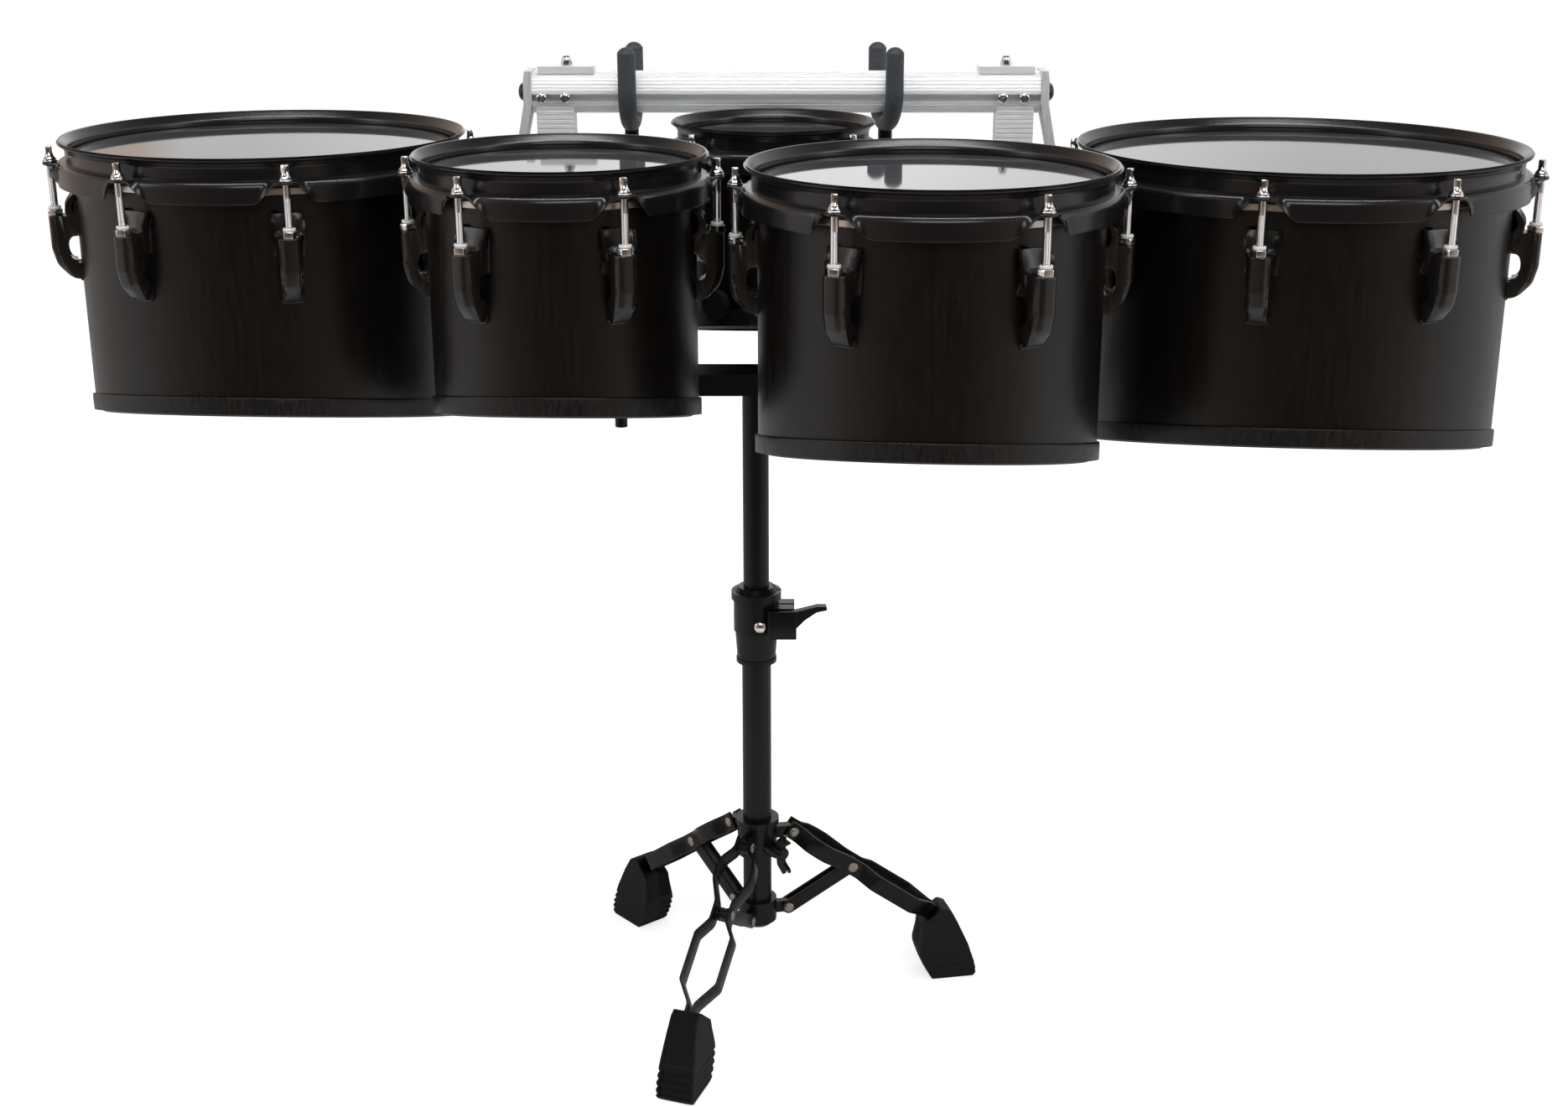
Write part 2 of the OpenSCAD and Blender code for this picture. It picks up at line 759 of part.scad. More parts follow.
// bent hook rods, stem through the socket and a U that carries the rail
module hook_rod(i) {
  translate([hook_x[i], 0, 0]) {
    translate([0, 0, hook_lo])
      cylinder(d = straight_d, h = bend_z - hook_lo + 0.5, $fn = 48);
    translate([0, bend_r, bend_z])
      rotate([90, 0, -90])
        rotate_extrude(angle = bend_a, $fn = 64)
          translate([bend_r, 0])
            circle(d = hook_d, $fn = 48);
    translate([0, bend_r - bend_r * cos(bend_a), bend_z + bend_r * sin(bend_a)])
      rotate([-bend_a, 0, 0])
        translate([0, 0, -0.5])
          cylinder(d = straight_d, h = slant_len + 1, $fn = 48);
    translate([0, rail_y - bend_r, bend_top])
      rotate([90, 0, 90])
        rotate([0, 0, -bend_a])
          rotate_extrude(angle = bend_a, $fn = 64)
            translate([bend_r, 0])
              circle(d = hook_d, $fn = 48);
    translate([0, rail_y, bend_top - 0.5])
      cylinder(d = boss_d, h = u_z - prong_gap / 2 - bend_top + 0.5, $fn = 48);
    translate([0, rail_y, u_z])
      rotate([0, 0, hook_yaw[i]]) {
        rotate([0, 90, 0])
          rotate([0, 0, -90])
            rotate_extrude(angle = 180, $fn = 64)
              translate([prong_gap / 2, 0])
                circle(d = hook_d, $fn = 48);
        for (s = [-1, 1])
          translate([0, s * prong_gap / 2, -0.5])
            cylinder(d = straight_d, h = 32.5, $fn = 48);
      }
  }
}

module hook_rods() {
  place() color([0.05, 0.05, 0.05])
    for (i = [0, 1])
      hook_rod(i);
}

// rubber sleeves over the U of each hook
module hook_sleeves() {
  place() color([0.13, 0.14, 0.15])
    for (i = [0, 1])
      translate([hook_x[i], rail_y, u_z])
        rotate([0, 0, hook_yaw[i]])
          difference() {
            union() {
              rotate([0, 90, 0])
                rotate([0, 0, -90])
                  rotate_extrude(angle = 180, $fn = 64)
                    translate([prong_gap / 2, 0])
                      difference() {
                        circle(d = sleeve_d, $fn = 48);
                        circle(d = hook_d + 2 * seat, $fn = 48);
                      }
              for (s = [-1, 1])
                translate([0, s * prong_gap / 2, 0])
                  difference() {
                    intersection() {
                      cylinder(d = sleeve_d, h = 39.2, $fn = 48);
                      translate([0, 0, 30.6])
                        sphere(d = sleeve_d + 1.4, $fn = 48);
                    }
                    translate([0, 0, -1])
                      cylinder(d = hook_d + 2 * seat, h = 33.1, $fn = 48);
                  }
              for (s = [-1, 1])
                translate([0, s * prong_gap / 2, 0])
                  difference() {
                    cylinder(d = sleeve_d, h = 30, $fn = 48);
                    translate([0, 0, -1])
                      cylinder(d = hook_d + 2 * seat, h = 33.1, $fn = 48);
                  }
            }
            translate([0, 0, -prong_gap / 2 - 20])
              cylinder(d = boss_d + 2 * seat, h = 20, $fn = 48);
          }
}

// wing bolt along +z: threaded stem, hub and two flat wings
module wing_bolt(stem, span) {
  translate([0, 0, -stem])
    cylinder(d = 7.8, h = stem + 1, $fn = 32);
  cylinder(d1 = 14, d2 = 11, h = 12, $fn = 48);
  difference() {
    translate([-span / 2, -2.4, 2])
      cube([span, 4.8, 17]);
    translate([0, 5, 27])
      rotate([90, 0, 0])
        cylinder(r = 14, h = 10, $fn = 48);
  }
}

module hook_wing_bolts() {
  place() color([0.06, 0.06, 0.06])
    for (i = [0, 1])
      translate([hook_x[i] + (2 * i - 1) * 19.3, 0, sock_lo + 18])
        rotate([0, 90 * (2 * i - 1), 0])
          wing_bolt(19.3 - straight_d / 2 - slide_fit - 0.4, 46);
}

module lower_tube() {
  place() color([0.05, 0.05, 0.05])
    union() {
      tube(low_d / 2, up_d / 2 + slide_fit, low_bot + 6, low_top);
      translate([0, 0, low_bot])
        cylinder(d = low_d, h = 6.5, $fn = 96);
    }
}

// split height clamp on the mouth of the lower tube
module height_clamp() {
  place() color([0.06, 0.06, 0.06])
    difference() {
      union() {
        translate([0, 0, 323])
          cylinder(r1 = 16.4, r2 = 18.6, h = 30, $fn = 96);
        translate([0, 0, 352])
          cylinder(r = 19.6, h = 30, $fn = 96);
        translate([0, 0, 381])
          cylinder(r = 21.6, h = 7, $fn = 96);
        translate([0, 0, 387.9])
          cylinder(r1 = 18.5, r2 = 15.5, h = 4.1, $fn = 96);
        translate([0, 0, 323])
          cylinder(r = 17.6, h = 4, $fn = 96);
        translate([12, -13, 352])
          cube([21, 26, 23]);
      }
      translate([0, 0, 320])
        cylinder(d = low_d + 0.04, h = low_top - 320 + 0.1, $fn = 96);
      cylinder(d = up_d + 2 * slide_fit, h = 400, $fn = 96);
      translate([14, -1.6, 340])
        cube([30, 3.2, 60]);
      translate([26, 20, 363.5])
        rotate([90, 0, 0])
          cylinder(d = 7.2, h = 40, $fn = 32);
      translate([3.6, -13.2, 361])
        rotate([90, 0, 0])
          cylinder(d = 6.2, h = 10, $fn = 32);
    }
}

module clamp_screw() {
  place() color([0.80, 0.80, 0.82])
    translate([3.6, -19.9, 361])
      rotate([90, 0, 0])
        difference() {
          union() {
            translate([0, 0, -6.2])
              cylinder(d = 6, h = 7, $fn = 32);
            intersection() {
              cylinder(d = 10, h = 3.4, $fn = 48);
              translate([0, 0, -4.4])
                sphere(d = 15.6, $fn = 48);
            }
          }
          translate([-6, -0.6, 2.4])
            cube([12, 1.2, 3]);
        }
}

// clamp bolt with its nut, carried by the ears
module clamp_bolt() {
  place() color([0.40, 0.40, 0.42])
    translate([26, 0, 363.5])
      rotate([90, 0, 0]) {
        translate([0, 0, -19])
          cylinder(d = 6.6, h = 41.4, $fn = 32);
        translate([0, 0, -18.6])
          cylinder(d = 12.6, h = 5.4, $fn = 6);
        translate([0, 0, 21.3])
          cylinder(d = 10, h = 2, $fn = 32);
      }
}

// clamping lever that turns on the bolt
module clamp_lever() {
  place() color([0.06, 0.06, 0.06])
    translate([26, 0, 363.5])
      rotate([90, 0, 0])
        difference() {
          union() {
            translate([0, 0, 13.3])
              cylinder(d = 18, h = 7.7, $fn = 64);
            translate([0, 0, 13.3])
              linear_extrude(7.7)
                polygon([[-2, 8.6], [10, 12], [27, 16.4], [34, 16.2], [35, 13], [26, 11], [16, 4],
                  [7, -5.4]]);
          }
          cylinder(d = 6.6 + 2 * pivot_fit, h = 40, $fn = 32);
        }
}

// lug on a collar for the leg or brace pivots, pointing along +x
module collar_lug(r, z, half, tall) {
  difference() {
    union() {
      translate([12, -half, z - tall / 2])
        cube([r - 12, 2 * half, tall]);
      translate([r, half, z])
        rotate([90, 0, 0])
          cylinder(d = tall, h = 2 * half, $fn = 48);
    }
    translate([r, 40, z])
      rotate([90, 0, 0])
        cylinder(d = pin_d + 0.02, h = 80, $fn = 48);
  }
}

// sliding collar that carries the legs
module upper_collar() {
  place() color([0.06, 0.06, 0.06])
    difference() {
      union() {
        translate([0, 0, 138])
          cylinder(r = 17.6, h = 34, $fn = 96);
        translate([0, 0, 168])
          cylinder(r = 19.4, h = 5, $fn = 96);
        for (a = leg_dir)
          rotate([0, 0, a])
            collar_lug(piv_r, piv_z, piv_lug, 11);
        rotate([0, 0, -50])
          translate([14, 0, 149])
            rotate([0, 90, 0])
              cylinder(d = 14, h = 12, $fn = 48);
      }
      translate([0, 0, 100])
        cylinder(d = low_d + 2 * slide_fit, h = 100, $fn = 96);
      rotate([0, 0, -50])
        translate([0, 0, 149])
          rotate([0, 90, 0])
            cylinder(d = 7.8 + 2 * pivot_fit, h = 40, $fn = 32);
    }
}

module collar_wing_bolt() {
  place() color([0.06, 0.06, 0.06])
    rotate([0, 0, -50])
      translate([26.4, 0, 149])
        rotate([0, 90, 0])
          wing_bolt(26.4 - low_d / 2 - 0.5, 38);
}

// fixed collar at the foot of the lower tube
module lower_collar() {
  place() color([0.06, 0.06, 0.06])
    difference() {
      union() {
        translate([0, 0, low_bot + 4])
          cylinder(r = 17.2, h = 21, $fn = 96);
        translate([0, 0, low_bot + 2])
          cylinder(r1 = 14.5, r2 = 17.2, h = 2.01, $fn = 96);
        for (a = leg_dir)
          rotate([0, 0, a])
            collar_lug(base_r, base_z, base_lug, 11);
      }
      translate([0, 0, 50])
        cylinder(d = low_d + 0.04, h = 60, $fn = 96);
    }
}

// rivet along y: shank with a low head at both ends
module rivet(half) {
  rotate([90, 0, 0]) {
    translate([0, 0, -half - 0.5])
      cylinder(d = pin_d, h = 2 * half + 1, $fn = 48);
    for (s = [0, 1])
      mirror([0, 0, s])
        translate([0, 0, half])
          cylinder(d1 = 8.6, d2 = 6.4, h = 1.6, $fn = 48);
  }
}

module collar_pins() {
  place() color([0.55, 0.50, 0.45])
    for (a = leg_dir)
      rotate([0, 0, a])
        translate([piv_r, 0, piv_z])
          rivet(piv_in + strip_t + 0.15);
}

module base_pins() {
  place() color([0.55, 0.50, 0.45])
    for (a = leg_dir)
      rotate([0, 0, a])
        translate([base_r, 0, base_z])
          rivet(brace_in + strip_t + 0.15);
}

function strip_pts(p, w) = concat(
  [for (q = p) [q[0], q[1] + w / 2]],
  [for (i = [len(p) - 1 : -1 : 0]) [p[i][0], p[i][1] - w / 2]]);

// pair of bowed flat strips with the spacer and rivet of the brace
module leg(k) {
  place() color([0.06, 0.06, 0.06])
    rotate([0, 0, leg_dir[k]])
      translate([piv_r, 0, piv_z])
        rotate([0, leg_tilt, 0]) {
          for (s = [0, 1])
            mirror([0, s, 0])
              difference() {
                linear_extrude(leg_h, center = true)
                  polygon(strip_pts(leg_path, strip_t));
                translate([0, 20, 0])
                  rotate([90, 0, 0])
                    cylinder(d = pin_d + 2 * pivot_fit, h = 20, $fn = 48);
                translate([knee, 20, 0])
                  rotate([90, 0, 0])
                    cylinder(d = pin_d + 0.02, h = 20, $fn = 48);
              }
          translate([knee, 0, 0])
            rotate([90, 0, 0]) {
              cylinder(d = 9, h = 2 * base_lug, center = true, $fn = 48);
              cylinder(d = pin_d, h = 2 * knee_y + strip_t + 1, center = true, $fn = 48);
              for (s = [0, 1])
                mirror([0, 0, s])
                  translate([0, 0, knee_in + strip_t + 0.05])
                    cylinder(d = 9, h = 1.4, $fn = 48);
            }
        }
}

module leg_front() { leg(0); }
module leg_left() { leg(1); }
module leg_right() { leg(2); }

// outer form of a boot, x away from the pole; inset shrinks it evenly
module boot(inset) {
  intersection() {
    rotate([90, 0, 0])
      linear_extrude(60, center = true)
        offset(delta = -inset)
          polygon([[-21, 0], [-29, 13], [-34, 28], [-31, 45], [-30, 54], [-11, 70], [-4, 67], [4, 54],
            [14, 32], [20, 14], [22, 5], [20, 0]]);
    rotate([90, 0, 90])
      linear_extrude(120, center = true)
        offset(delta = -inset)
          polygon([[-17, 0], [17, 0], [17, 22], [12, 70], [-12, 70], [-17, 22]]);
  }
}

// rubber boot with a flat sole, four grooves round it and a slot for the leg
module foot(k) {
  place() color([0.08, 0.08, 0.08])
    rotate([0, 0, leg_dir[k]])
      difference() {
        translate([foot_r, 0, 0])
          boot(0);
        for (z = [5 : 6.2 : 24])
          difference() {
            translate([foot_r - 50, -30, z])
              cube([100, 60, 2]);
            translate([foot_r, 0, 0])
              boot(0.9);
          }
        translate([piv_r, 0, piv_z])
          rotate([0, leg_tilt, 0])
            translate([mouth - 12, -tail_y - strip_t / 2 - 0.15, -leg_h / 2 - 0.1])
              cube([leg_end - mouth + 12.1, 2 * tail_y + strip_t + 0.3, leg_h + 0.2]);
      }
}

module foot_front() { foot(0); }
module foot_left() { foot(1); }
module foot_right() { foot(2); }

// pair of straight brace strips between the lower collar and a leg
module brace(k) {
  place() color([0.06, 0.06, 0.06])
    rotate([0, 0, leg_dir[k]])
      translate([base_r, 0, base_z])
        rotate([0, -brace_up, 0])
          for (s = [0, 1])
            mirror([0, s, 0])
              difference() {
                union() {
                  translate([0, brace_in, -brace_h / 2])
                    cube([brace_len, strip_t, brace_h]);
                  for (x = [0, brace_len])
                    translate([x, brace_in + strip_t, 0])
                      rotate([90, 0, 0])
                        cylinder(d = brace_h, h = strip_t, $fn = 48);
                }
                translate([0, 20, 0])
                  rotate([90, 0, 0])
                    cylinder(d = pin_d + 2 * pivot_fit, h = 20, $fn = 48);
                translate([brace_len, 20, 0])
                  rotate([90, 0, 0])
                    cylinder(d = pin_d + 2 * fold_play, h = 20, $fn = 48);
              }
}

module brace_front() { brace(0); }
module brace_left() { brace(1); }
module brace_right() { brace(2); }

shell_six();
shell_eight();
shell_ten();
shell_twelve();
shell_thirteen();
hoop_six();
hoop_eight();
hoop_ten();
hoop_twelve();
hoop_thirteen();
head_six();
head_eight();
head_ten();
head_twelve();
head_thirteen();
edge_trims();
lugs();
tension_rods();
rod_washers();
lug_nuts();
nylon_washers();
lug_screws();
rail();
rail_end_plates();
end_bolts();
top_clamps();
clamp_studs();
rail_screws();
riser_blocks();
side_arms();
drum_brackets();
mount_plates();
spock_bracket();
spock_bumper();
upper_tube();
crossbar();
rest_buffers();
hook_rods();
hook_sleeves();
hook_wing_bolts();
lower_tube();
height_clamp();
clamp_screw();
clamp_bolt();
clamp_lever();
upper_collar();
collar_wing_bolt();
lower_collar();
collar_pins();
base_pins();
leg_front();
leg_left();
leg_right();
foot_front();
foot_left();
foot_right();
brace_front();
brace_left();
brace_right();
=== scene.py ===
# %% [markdown]
# Marching tenor drums: five cut-bottom drums on a rail, hung in two hooks on a folding tripod stand.
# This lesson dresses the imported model. The frame gives every rigid piece at its real size; here the
# visible surfaces get their finish, and the pieces whose charm is in soft, pressed or cast shapes
# (hoops, lugs, rods, edge guards, boots) are modelled again around the same places.

# %% Load the frame
import json
import math

import bmesh
import bpy
from mathutils import Matrix, Vector


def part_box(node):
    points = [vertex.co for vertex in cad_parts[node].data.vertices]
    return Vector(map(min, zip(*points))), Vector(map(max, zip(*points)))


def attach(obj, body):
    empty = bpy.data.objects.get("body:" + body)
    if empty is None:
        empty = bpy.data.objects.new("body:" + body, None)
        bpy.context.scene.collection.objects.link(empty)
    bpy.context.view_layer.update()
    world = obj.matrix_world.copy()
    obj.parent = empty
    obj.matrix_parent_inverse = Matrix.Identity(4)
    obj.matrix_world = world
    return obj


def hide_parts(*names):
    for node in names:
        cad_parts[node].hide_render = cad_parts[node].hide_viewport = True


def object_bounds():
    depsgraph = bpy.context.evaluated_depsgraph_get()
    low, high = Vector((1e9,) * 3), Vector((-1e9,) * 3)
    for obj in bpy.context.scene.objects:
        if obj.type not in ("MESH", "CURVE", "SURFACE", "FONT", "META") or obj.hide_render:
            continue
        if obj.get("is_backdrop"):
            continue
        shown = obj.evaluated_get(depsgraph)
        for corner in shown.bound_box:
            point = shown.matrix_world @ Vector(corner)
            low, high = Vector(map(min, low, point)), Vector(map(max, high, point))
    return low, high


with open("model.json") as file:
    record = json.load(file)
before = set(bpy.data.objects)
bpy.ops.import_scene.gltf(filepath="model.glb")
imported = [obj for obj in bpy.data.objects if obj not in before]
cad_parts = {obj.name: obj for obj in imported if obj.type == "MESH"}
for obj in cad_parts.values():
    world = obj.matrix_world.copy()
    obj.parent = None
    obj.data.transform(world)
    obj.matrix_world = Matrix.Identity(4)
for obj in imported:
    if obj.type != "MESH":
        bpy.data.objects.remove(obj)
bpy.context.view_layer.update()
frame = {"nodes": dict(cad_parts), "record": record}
MM = 0.001

# %% [markdown]
# The drums are the driving sizes. A shell's box gives its axis and radius, and the hoop's box gives
# the plane of the hoop top. Only the number of lugs and the angle of the first one are written here.

# %% Measure the drums
LUGS_OF = {"six": (4, -45), "eight": (6, -92), "ten": (6, -91), "twelve": (8, -72), "thirteen": (8, -66)}
CUT_HEADING = {"six": 0, "eight": -2, "ten": -5, "twelve": -4, "thirteen": -5}
CUT_SLOPE = math.radians(13.3)
ROD_OFF = 16 * MM       # tension rod circle outside the shell
SEAT_Z = -59.5 * MM     # rod seat of a lug below the hoop top
DRUMS = {}
for name, (lugs, first) in LUGS_OF.items():
    low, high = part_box("shell_" + name)
    DRUMS[name] = {
        "axis": Vector(((low.x + high.x) / 2, (low.y + high.y) / 2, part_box("hoop_" + name)[1].z)),
        "radius": (high.x - low.x) / 2,
        "angles": [math.radians(first + k * 360 / lugs - 90) for k in range(lugs)],
    }
    print(name, "radius", round(DRUMS[name]["radius"] / MM, 1), "mm,", lugs, "lugs")

# %% [markdown]
# The camera comes first, so that every look is judged from the right place. Its lens is long and it
# looks down a little, because the heads show as flat ellipses. It stands in front of the pole.

# %% Camera
LENS_PX = 2500
FRAME_PX = 1870
CAMERA_PLACE = (0.003529, -1.668732, 0.988)
CAMERA_DIP = 18.335   # degrees below level
camera = bpy.data.cameras.new("camera")
camera.sensor_width = 36
camera.lens = LENS_PX * camera.sensor_width / FRAME_PX
camera_object = bpy.data.objects.new("camera", camera)
camera_object.location = CAMERA_PLACE
camera_object.rotation_euler = (math.radians(90 - CAMERA_DIP), 0, 0)
bpy.context.scene.collection.objects.link(camera_object)
bpy.context.scene.camera = camera_object

# %% [markdown]
# Pieces are made in bmesh and handed over here. Doubled points are merged, the faces are turned
# outwards, and edges sharper than a given angle stay crisp while the rest is shaded smooth.


# %% Hand a finished bmesh over to its body
SAME_POINT = 2e-6   # points nearer than this, in metres, are one


def hand_over(bm, name, body, material, replaces=(), crisp=32):
    bmesh.ops.remove_doubles(bm, verts=bm.verts, dist=SAME_POINT)
    bmesh.ops.recalc_face_normals(bm, faces=bm.faces)
    open_edges = sum(1 for edge in bm.edges if len(edge.link_faces) != 2)
    mesh = bpy.data.meshes.new(name)
    bm.to_mesh(mesh)
    bm.free()
    mesh.shade_smooth()
    mesh.set_sharp_from_angle(angle=math.radians(crisp))
    piece = bpy.data.objects.new(name, mesh)
    bpy.context.scene.collection.objects.link(piece)
    mesh.materials.append(material)
    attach(piece, body)
    if replaces:
        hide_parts(*replaces)
    print(name, len(mesh.polygons), "faces,", open_edges, "open edges")


# %% [markdown]
# Most sections here are polylines with rounded corners. Each corner is (x, y, radius), and the round
# is laid in as a short arc. Long straight stretches can be cut into steps, so that they bend well.


# %% Outline with rounded corners
def rounded(corners, arc_steps=5, longest=None, closed=True):
    points = []
    count = len(corners)
    for i, (x, y, radius) in enumerate(corners):
        here = Vector((x, y))
        if radius <= 0 or (not closed and i in (0, count - 1)):
            points.append(here)
            continue
        back = (Vector(corners[i - 1][:2]) - here).normalized()
        ahead = (Vector(corners[(i + 1) % count][:2]) - here).normalized()
        half = back.angle(ahead) / 2
        reach = radius / math.tan(half)
        centre = here + (back + ahead).normalized() * radius / math.sin(half)
        start = here + back * reach - centre
        turn = math.pi - 2 * half
        if start.x * ahead.y - start.y * ahead.x < 0:
            turn = -turn
        for step in range(arc_steps + 1):
            a = turn * step / arc_steps
            points.append(centre + Vector((start.x * math.cos(a) - start.y * math.sin(a),
                                           start.x * math.sin(a) + start.y * math.cos(a))))
    if longest is None:
        return points
    finer = []
    for i, point in enumerate(points):
        if not closed and i == len(points) - 1:
            finer.append(point)
            break
        after = points[(i + 1) % len(points)]
        pieces = max(1, math.ceil((after - point).length / longest))
        finer += [point.lerp(after, k / pieces) for k in range(pieces)]
    return finer


def smooth_step(t):
    t = min(max(t, 0.0), 1.0)
    return t * t * (3 - 2 * t)


# %% [markdown]
# Turned pieces, from hoops to nuts, are a closed section in the XZ plane spun round Z. Flat ones
# are an outline drawn as one face and extruded, in slices where it bends later. Both get their
# sharp edges softened by a bevel.


# %% Spin, extrude and soften
def spin_loop(bm, verts, steps):
    edges = [bm.edges.new((verts[i - 1], verts[i])) for i in range(len(verts))]
    bmesh.ops.spin(bm, geom=verts + edges, cent=(0, 0, 0), axis=(0, 0, 1), angle=2 * math.pi,
                   steps=steps, use_merge=True, use_duplicate=False)


def spin_section(bm, section, steps):
    spin_loop(bm, [bm.verts.new((x, 0, z)) for x, z in section], steps)


def add_spun(bm, section, steps, place=Matrix.Identity(4)):
    part = bmesh.new()
    spin_section(part, section, steps)
    bmesh.ops.remove_doubles(part, verts=part.verts, dist=1e-7)
    bmesh.ops.transform(part, matrix=place, verts=part.verts)
    add_part(bm, part)


def add_part(bm, part, place=None, keep=False):
    mesh = bpy.data.meshes.new("part")
    if place is not None:
        bmesh.ops.transform(part, matrix=place, verts=part.verts)
    part.to_mesh(mesh)
    if place is not None and keep:
        bmesh.ops.transform(part, matrix=place.inverted(), verts=part.verts)
    bm.from_mesh(mesh)
    bpy.data.meshes.remove(mesh)
    if not keep:
        part.free()


def extrude_outline(bm, points, travel, slices=1):
    face = bm.faces.new([bm.verts.new(point) for point in points])
    step = [length / slices for length in travel]
    for _ in range(slices):
        made = bmesh.ops.extrude_face_region(bm, geom=[face])["geom"]
        face = next(g for g in made if isinstance(g, bmesh.types.BMFace))
        moved = [g for g in made if isinstance(g, bmesh.types.BMVert)]
        bmesh.ops.translate(bm, verts=moved, vec=step)
    return face


def soften(bm, edges, offset, segments=2, clamp=False):
    bmesh.ops.bevel(bm, geom=edges, offset=offset * MM, offset_type="OFFSET", segments=segments,
                    profile=0.5, affect="EDGES", material=-1, clamp_overlap=clamp)


def sharp_edges(bm, angle):
    return [edge for edge in bm.edges if edge.calc_face_angle(0) > angle]


def lug_places(drum):
    for angle in drum["angles"]:
        yield Matrix.Translation(drum["axis"]) @ Matrix.Rotation(angle, 4, "Z")


# %% [markdown]
# Finishes share a few effects, each a node group with named sockets. The first is a worn edge: a
# Bevel node finds how far the surface turns nearby, and noise breaks the line up. The second is a
# fine grain for roughness and height, which its Stretch input can draw out into streaks. The third is sparse
# dust.


# %% Shared shader groups
def new_group(title, inputs, outputs):
    group = bpy.data.node_groups.new(title, "ShaderNodeTree")
    for label, kind, value in inputs:
        socket = group.interface.new_socket(name=label, in_out="INPUT", socket_type=kind)
        socket.default_value = value
    for label, kind in outputs:
        group.interface.new_socket(name=label, in_out="OUTPUT", socket_type=kind)
    return group, group.nodes.new("NodeGroupInput"), group.nodes.new("NodeGroupOutput")


def add_node(tree, kind, **settings):
    node = tree.nodes.new(kind)
    for key, value in settings.items():
        if key.startswith("in_"):
            node.inputs[int(key[3:])].default_value = value
        else:
            setattr(node, key, value)
    return node


def remap(tree, source, low, high, to_low, to_high):
    node = add_node(tree, "ShaderNodeMapRange", in_1=low, in_2=high, in_3=to_low, in_4=to_high)
    tree.links.new(source, node.inputs[0])
    return node.outputs[0]


def arithmetic(tree, operation, first, second):
    node = add_node(tree, "ShaderNodeMath", operation=operation)
    for socket, value in zip(node.inputs, (first, second)):
        if isinstance(value, (int, float)):
            socket.default_value = value
        else:
            tree.links.new(value, socket)
    return node.outputs[0]


def make_worn_edge():
    group, source, result = new_group("worn_edge", [("Radius", "NodeSocketFloat", 0.0008),
                                                    ("Amount", "NodeSocketFloat", 1.0)],
                                      [("Mask", "NodeSocketFloat")])
    links = group.links
    bevel = add_node(group, "ShaderNodeBevel", samples=4)
    links.new(source.outputs["Radius"], bevel.inputs["Radius"])
    geometry = add_node(group, "ShaderNodeNewGeometry")
    dot = add_node(group, "ShaderNodeVectorMath", operation="DOT_PRODUCT")
    links.new(bevel.outputs[0], dot.inputs[0])
    links.new(geometry.outputs["Normal"], dot.inputs[1])
    edge = remap(group, dot.outputs["Value"], 0.995, 0.90, 0.0, 1.0)
    coords = add_node(group, "ShaderNodeTexCoord")
    noise = add_node(group, "ShaderNodeTexNoise")
    noise.inputs["Scale"].default_value = 260
    noise.inputs["Detail"].default_value = 3
    links.new(coords.outputs["Object"], noise.inputs["Vector"])
    broken = remap(group, noise.outputs[0], 0.35, 0.65, 0.25, 1.0)
    worn = arithmetic(group, "MULTIPLY", edge, broken)
    links.new(arithmetic(group, "MULTIPLY", worn, source.outputs["Amount"]), result.inputs["Mask"])
    return group


def make_grain():
    group, source, result = new_group("fine_grain", [("Scale", "NodeSocketFloat", 900.0),
                                                     ("Stretch", "NodeSocketVector", (1, 1, 1))],
                                      [("Value", "NodeSocketFloat")])
    coords = add_node(group, "ShaderNodeTexCoord")
    mapping = add_node(group, "ShaderNodeMapping")
    group.links.new(coords.outputs["Object"], mapping.inputs["Vector"])
    group.links.new(source.outputs["Stretch"], mapping.inputs["Scale"])
    noise = add_node(group, "ShaderNodeTexNoise")
    noise.inputs["Detail"].default_value = 4
    group.links.new(mapping.outputs[0], noise.inputs["Vector"])
    group.links.new(source.outputs["Scale"], noise.inputs["Scale"])
    group.links.new(noise.outputs[0], result.inputs["Value"])
    return group


def make_dust():
    group, source, result = new_group("dust_specks", [("Scale", "NodeSocketFloat", 130.0),
                                                      ("Size", "NodeSocketFloat", 0.06)],
                                      [("Mask", "NodeSocketFloat")])
    coords = add_node(group, "ShaderNodeTexCoord")
    cells = add_node(group, "ShaderNodeTexVoronoi")
    group.links.new(coords.outputs["Object"], cells.inputs["Vector"])
    group.links.new(source.outputs["Scale"], cells.inputs["Scale"])
    near = arithmetic(group, "LESS_THAN", cells.outputs["Distance"], source.outputs["Size"])
    split = add_node(group, "ShaderNodeSeparateColor")
    group.links.new(cells.outputs["Color"], split.inputs[0])
    rare = arithmetic(group, "GREATER_THAN", split.outputs[0], 0.86)
    group.links.new(arithmetic(group, "MULTIPLY", near, rare), result.inputs["Mask"])
    return group


WORN = make_worn_edge()
GRAIN = make_grain()
DUST = make_dust()

# %% [markdown]
# A finish is written as one call: its two tones, the spread of its roughness, the grain, the worn
# edge and the dust. Constant values stay on the shader's own sockets, so that they survive export.


# %% Build a finish from its numbers
def new_material(title):
    material = bpy.data.materials.new(title)
    material.use_nodes = True
    return material, material.node_tree, material.node_tree.nodes["Principled BSDF"]


def add_bump(tree, shader, height, strength, depth):
    bump = add_node(tree, "ShaderNodeBump")
    bump.inputs["Strength"].default_value = strength
    bump.inputs["Distance"].default_value = depth
    tree.links.new(height, bump.inputs["Height"])
    tree.links.new(bump.outputs[0], shader.inputs["Normal"])


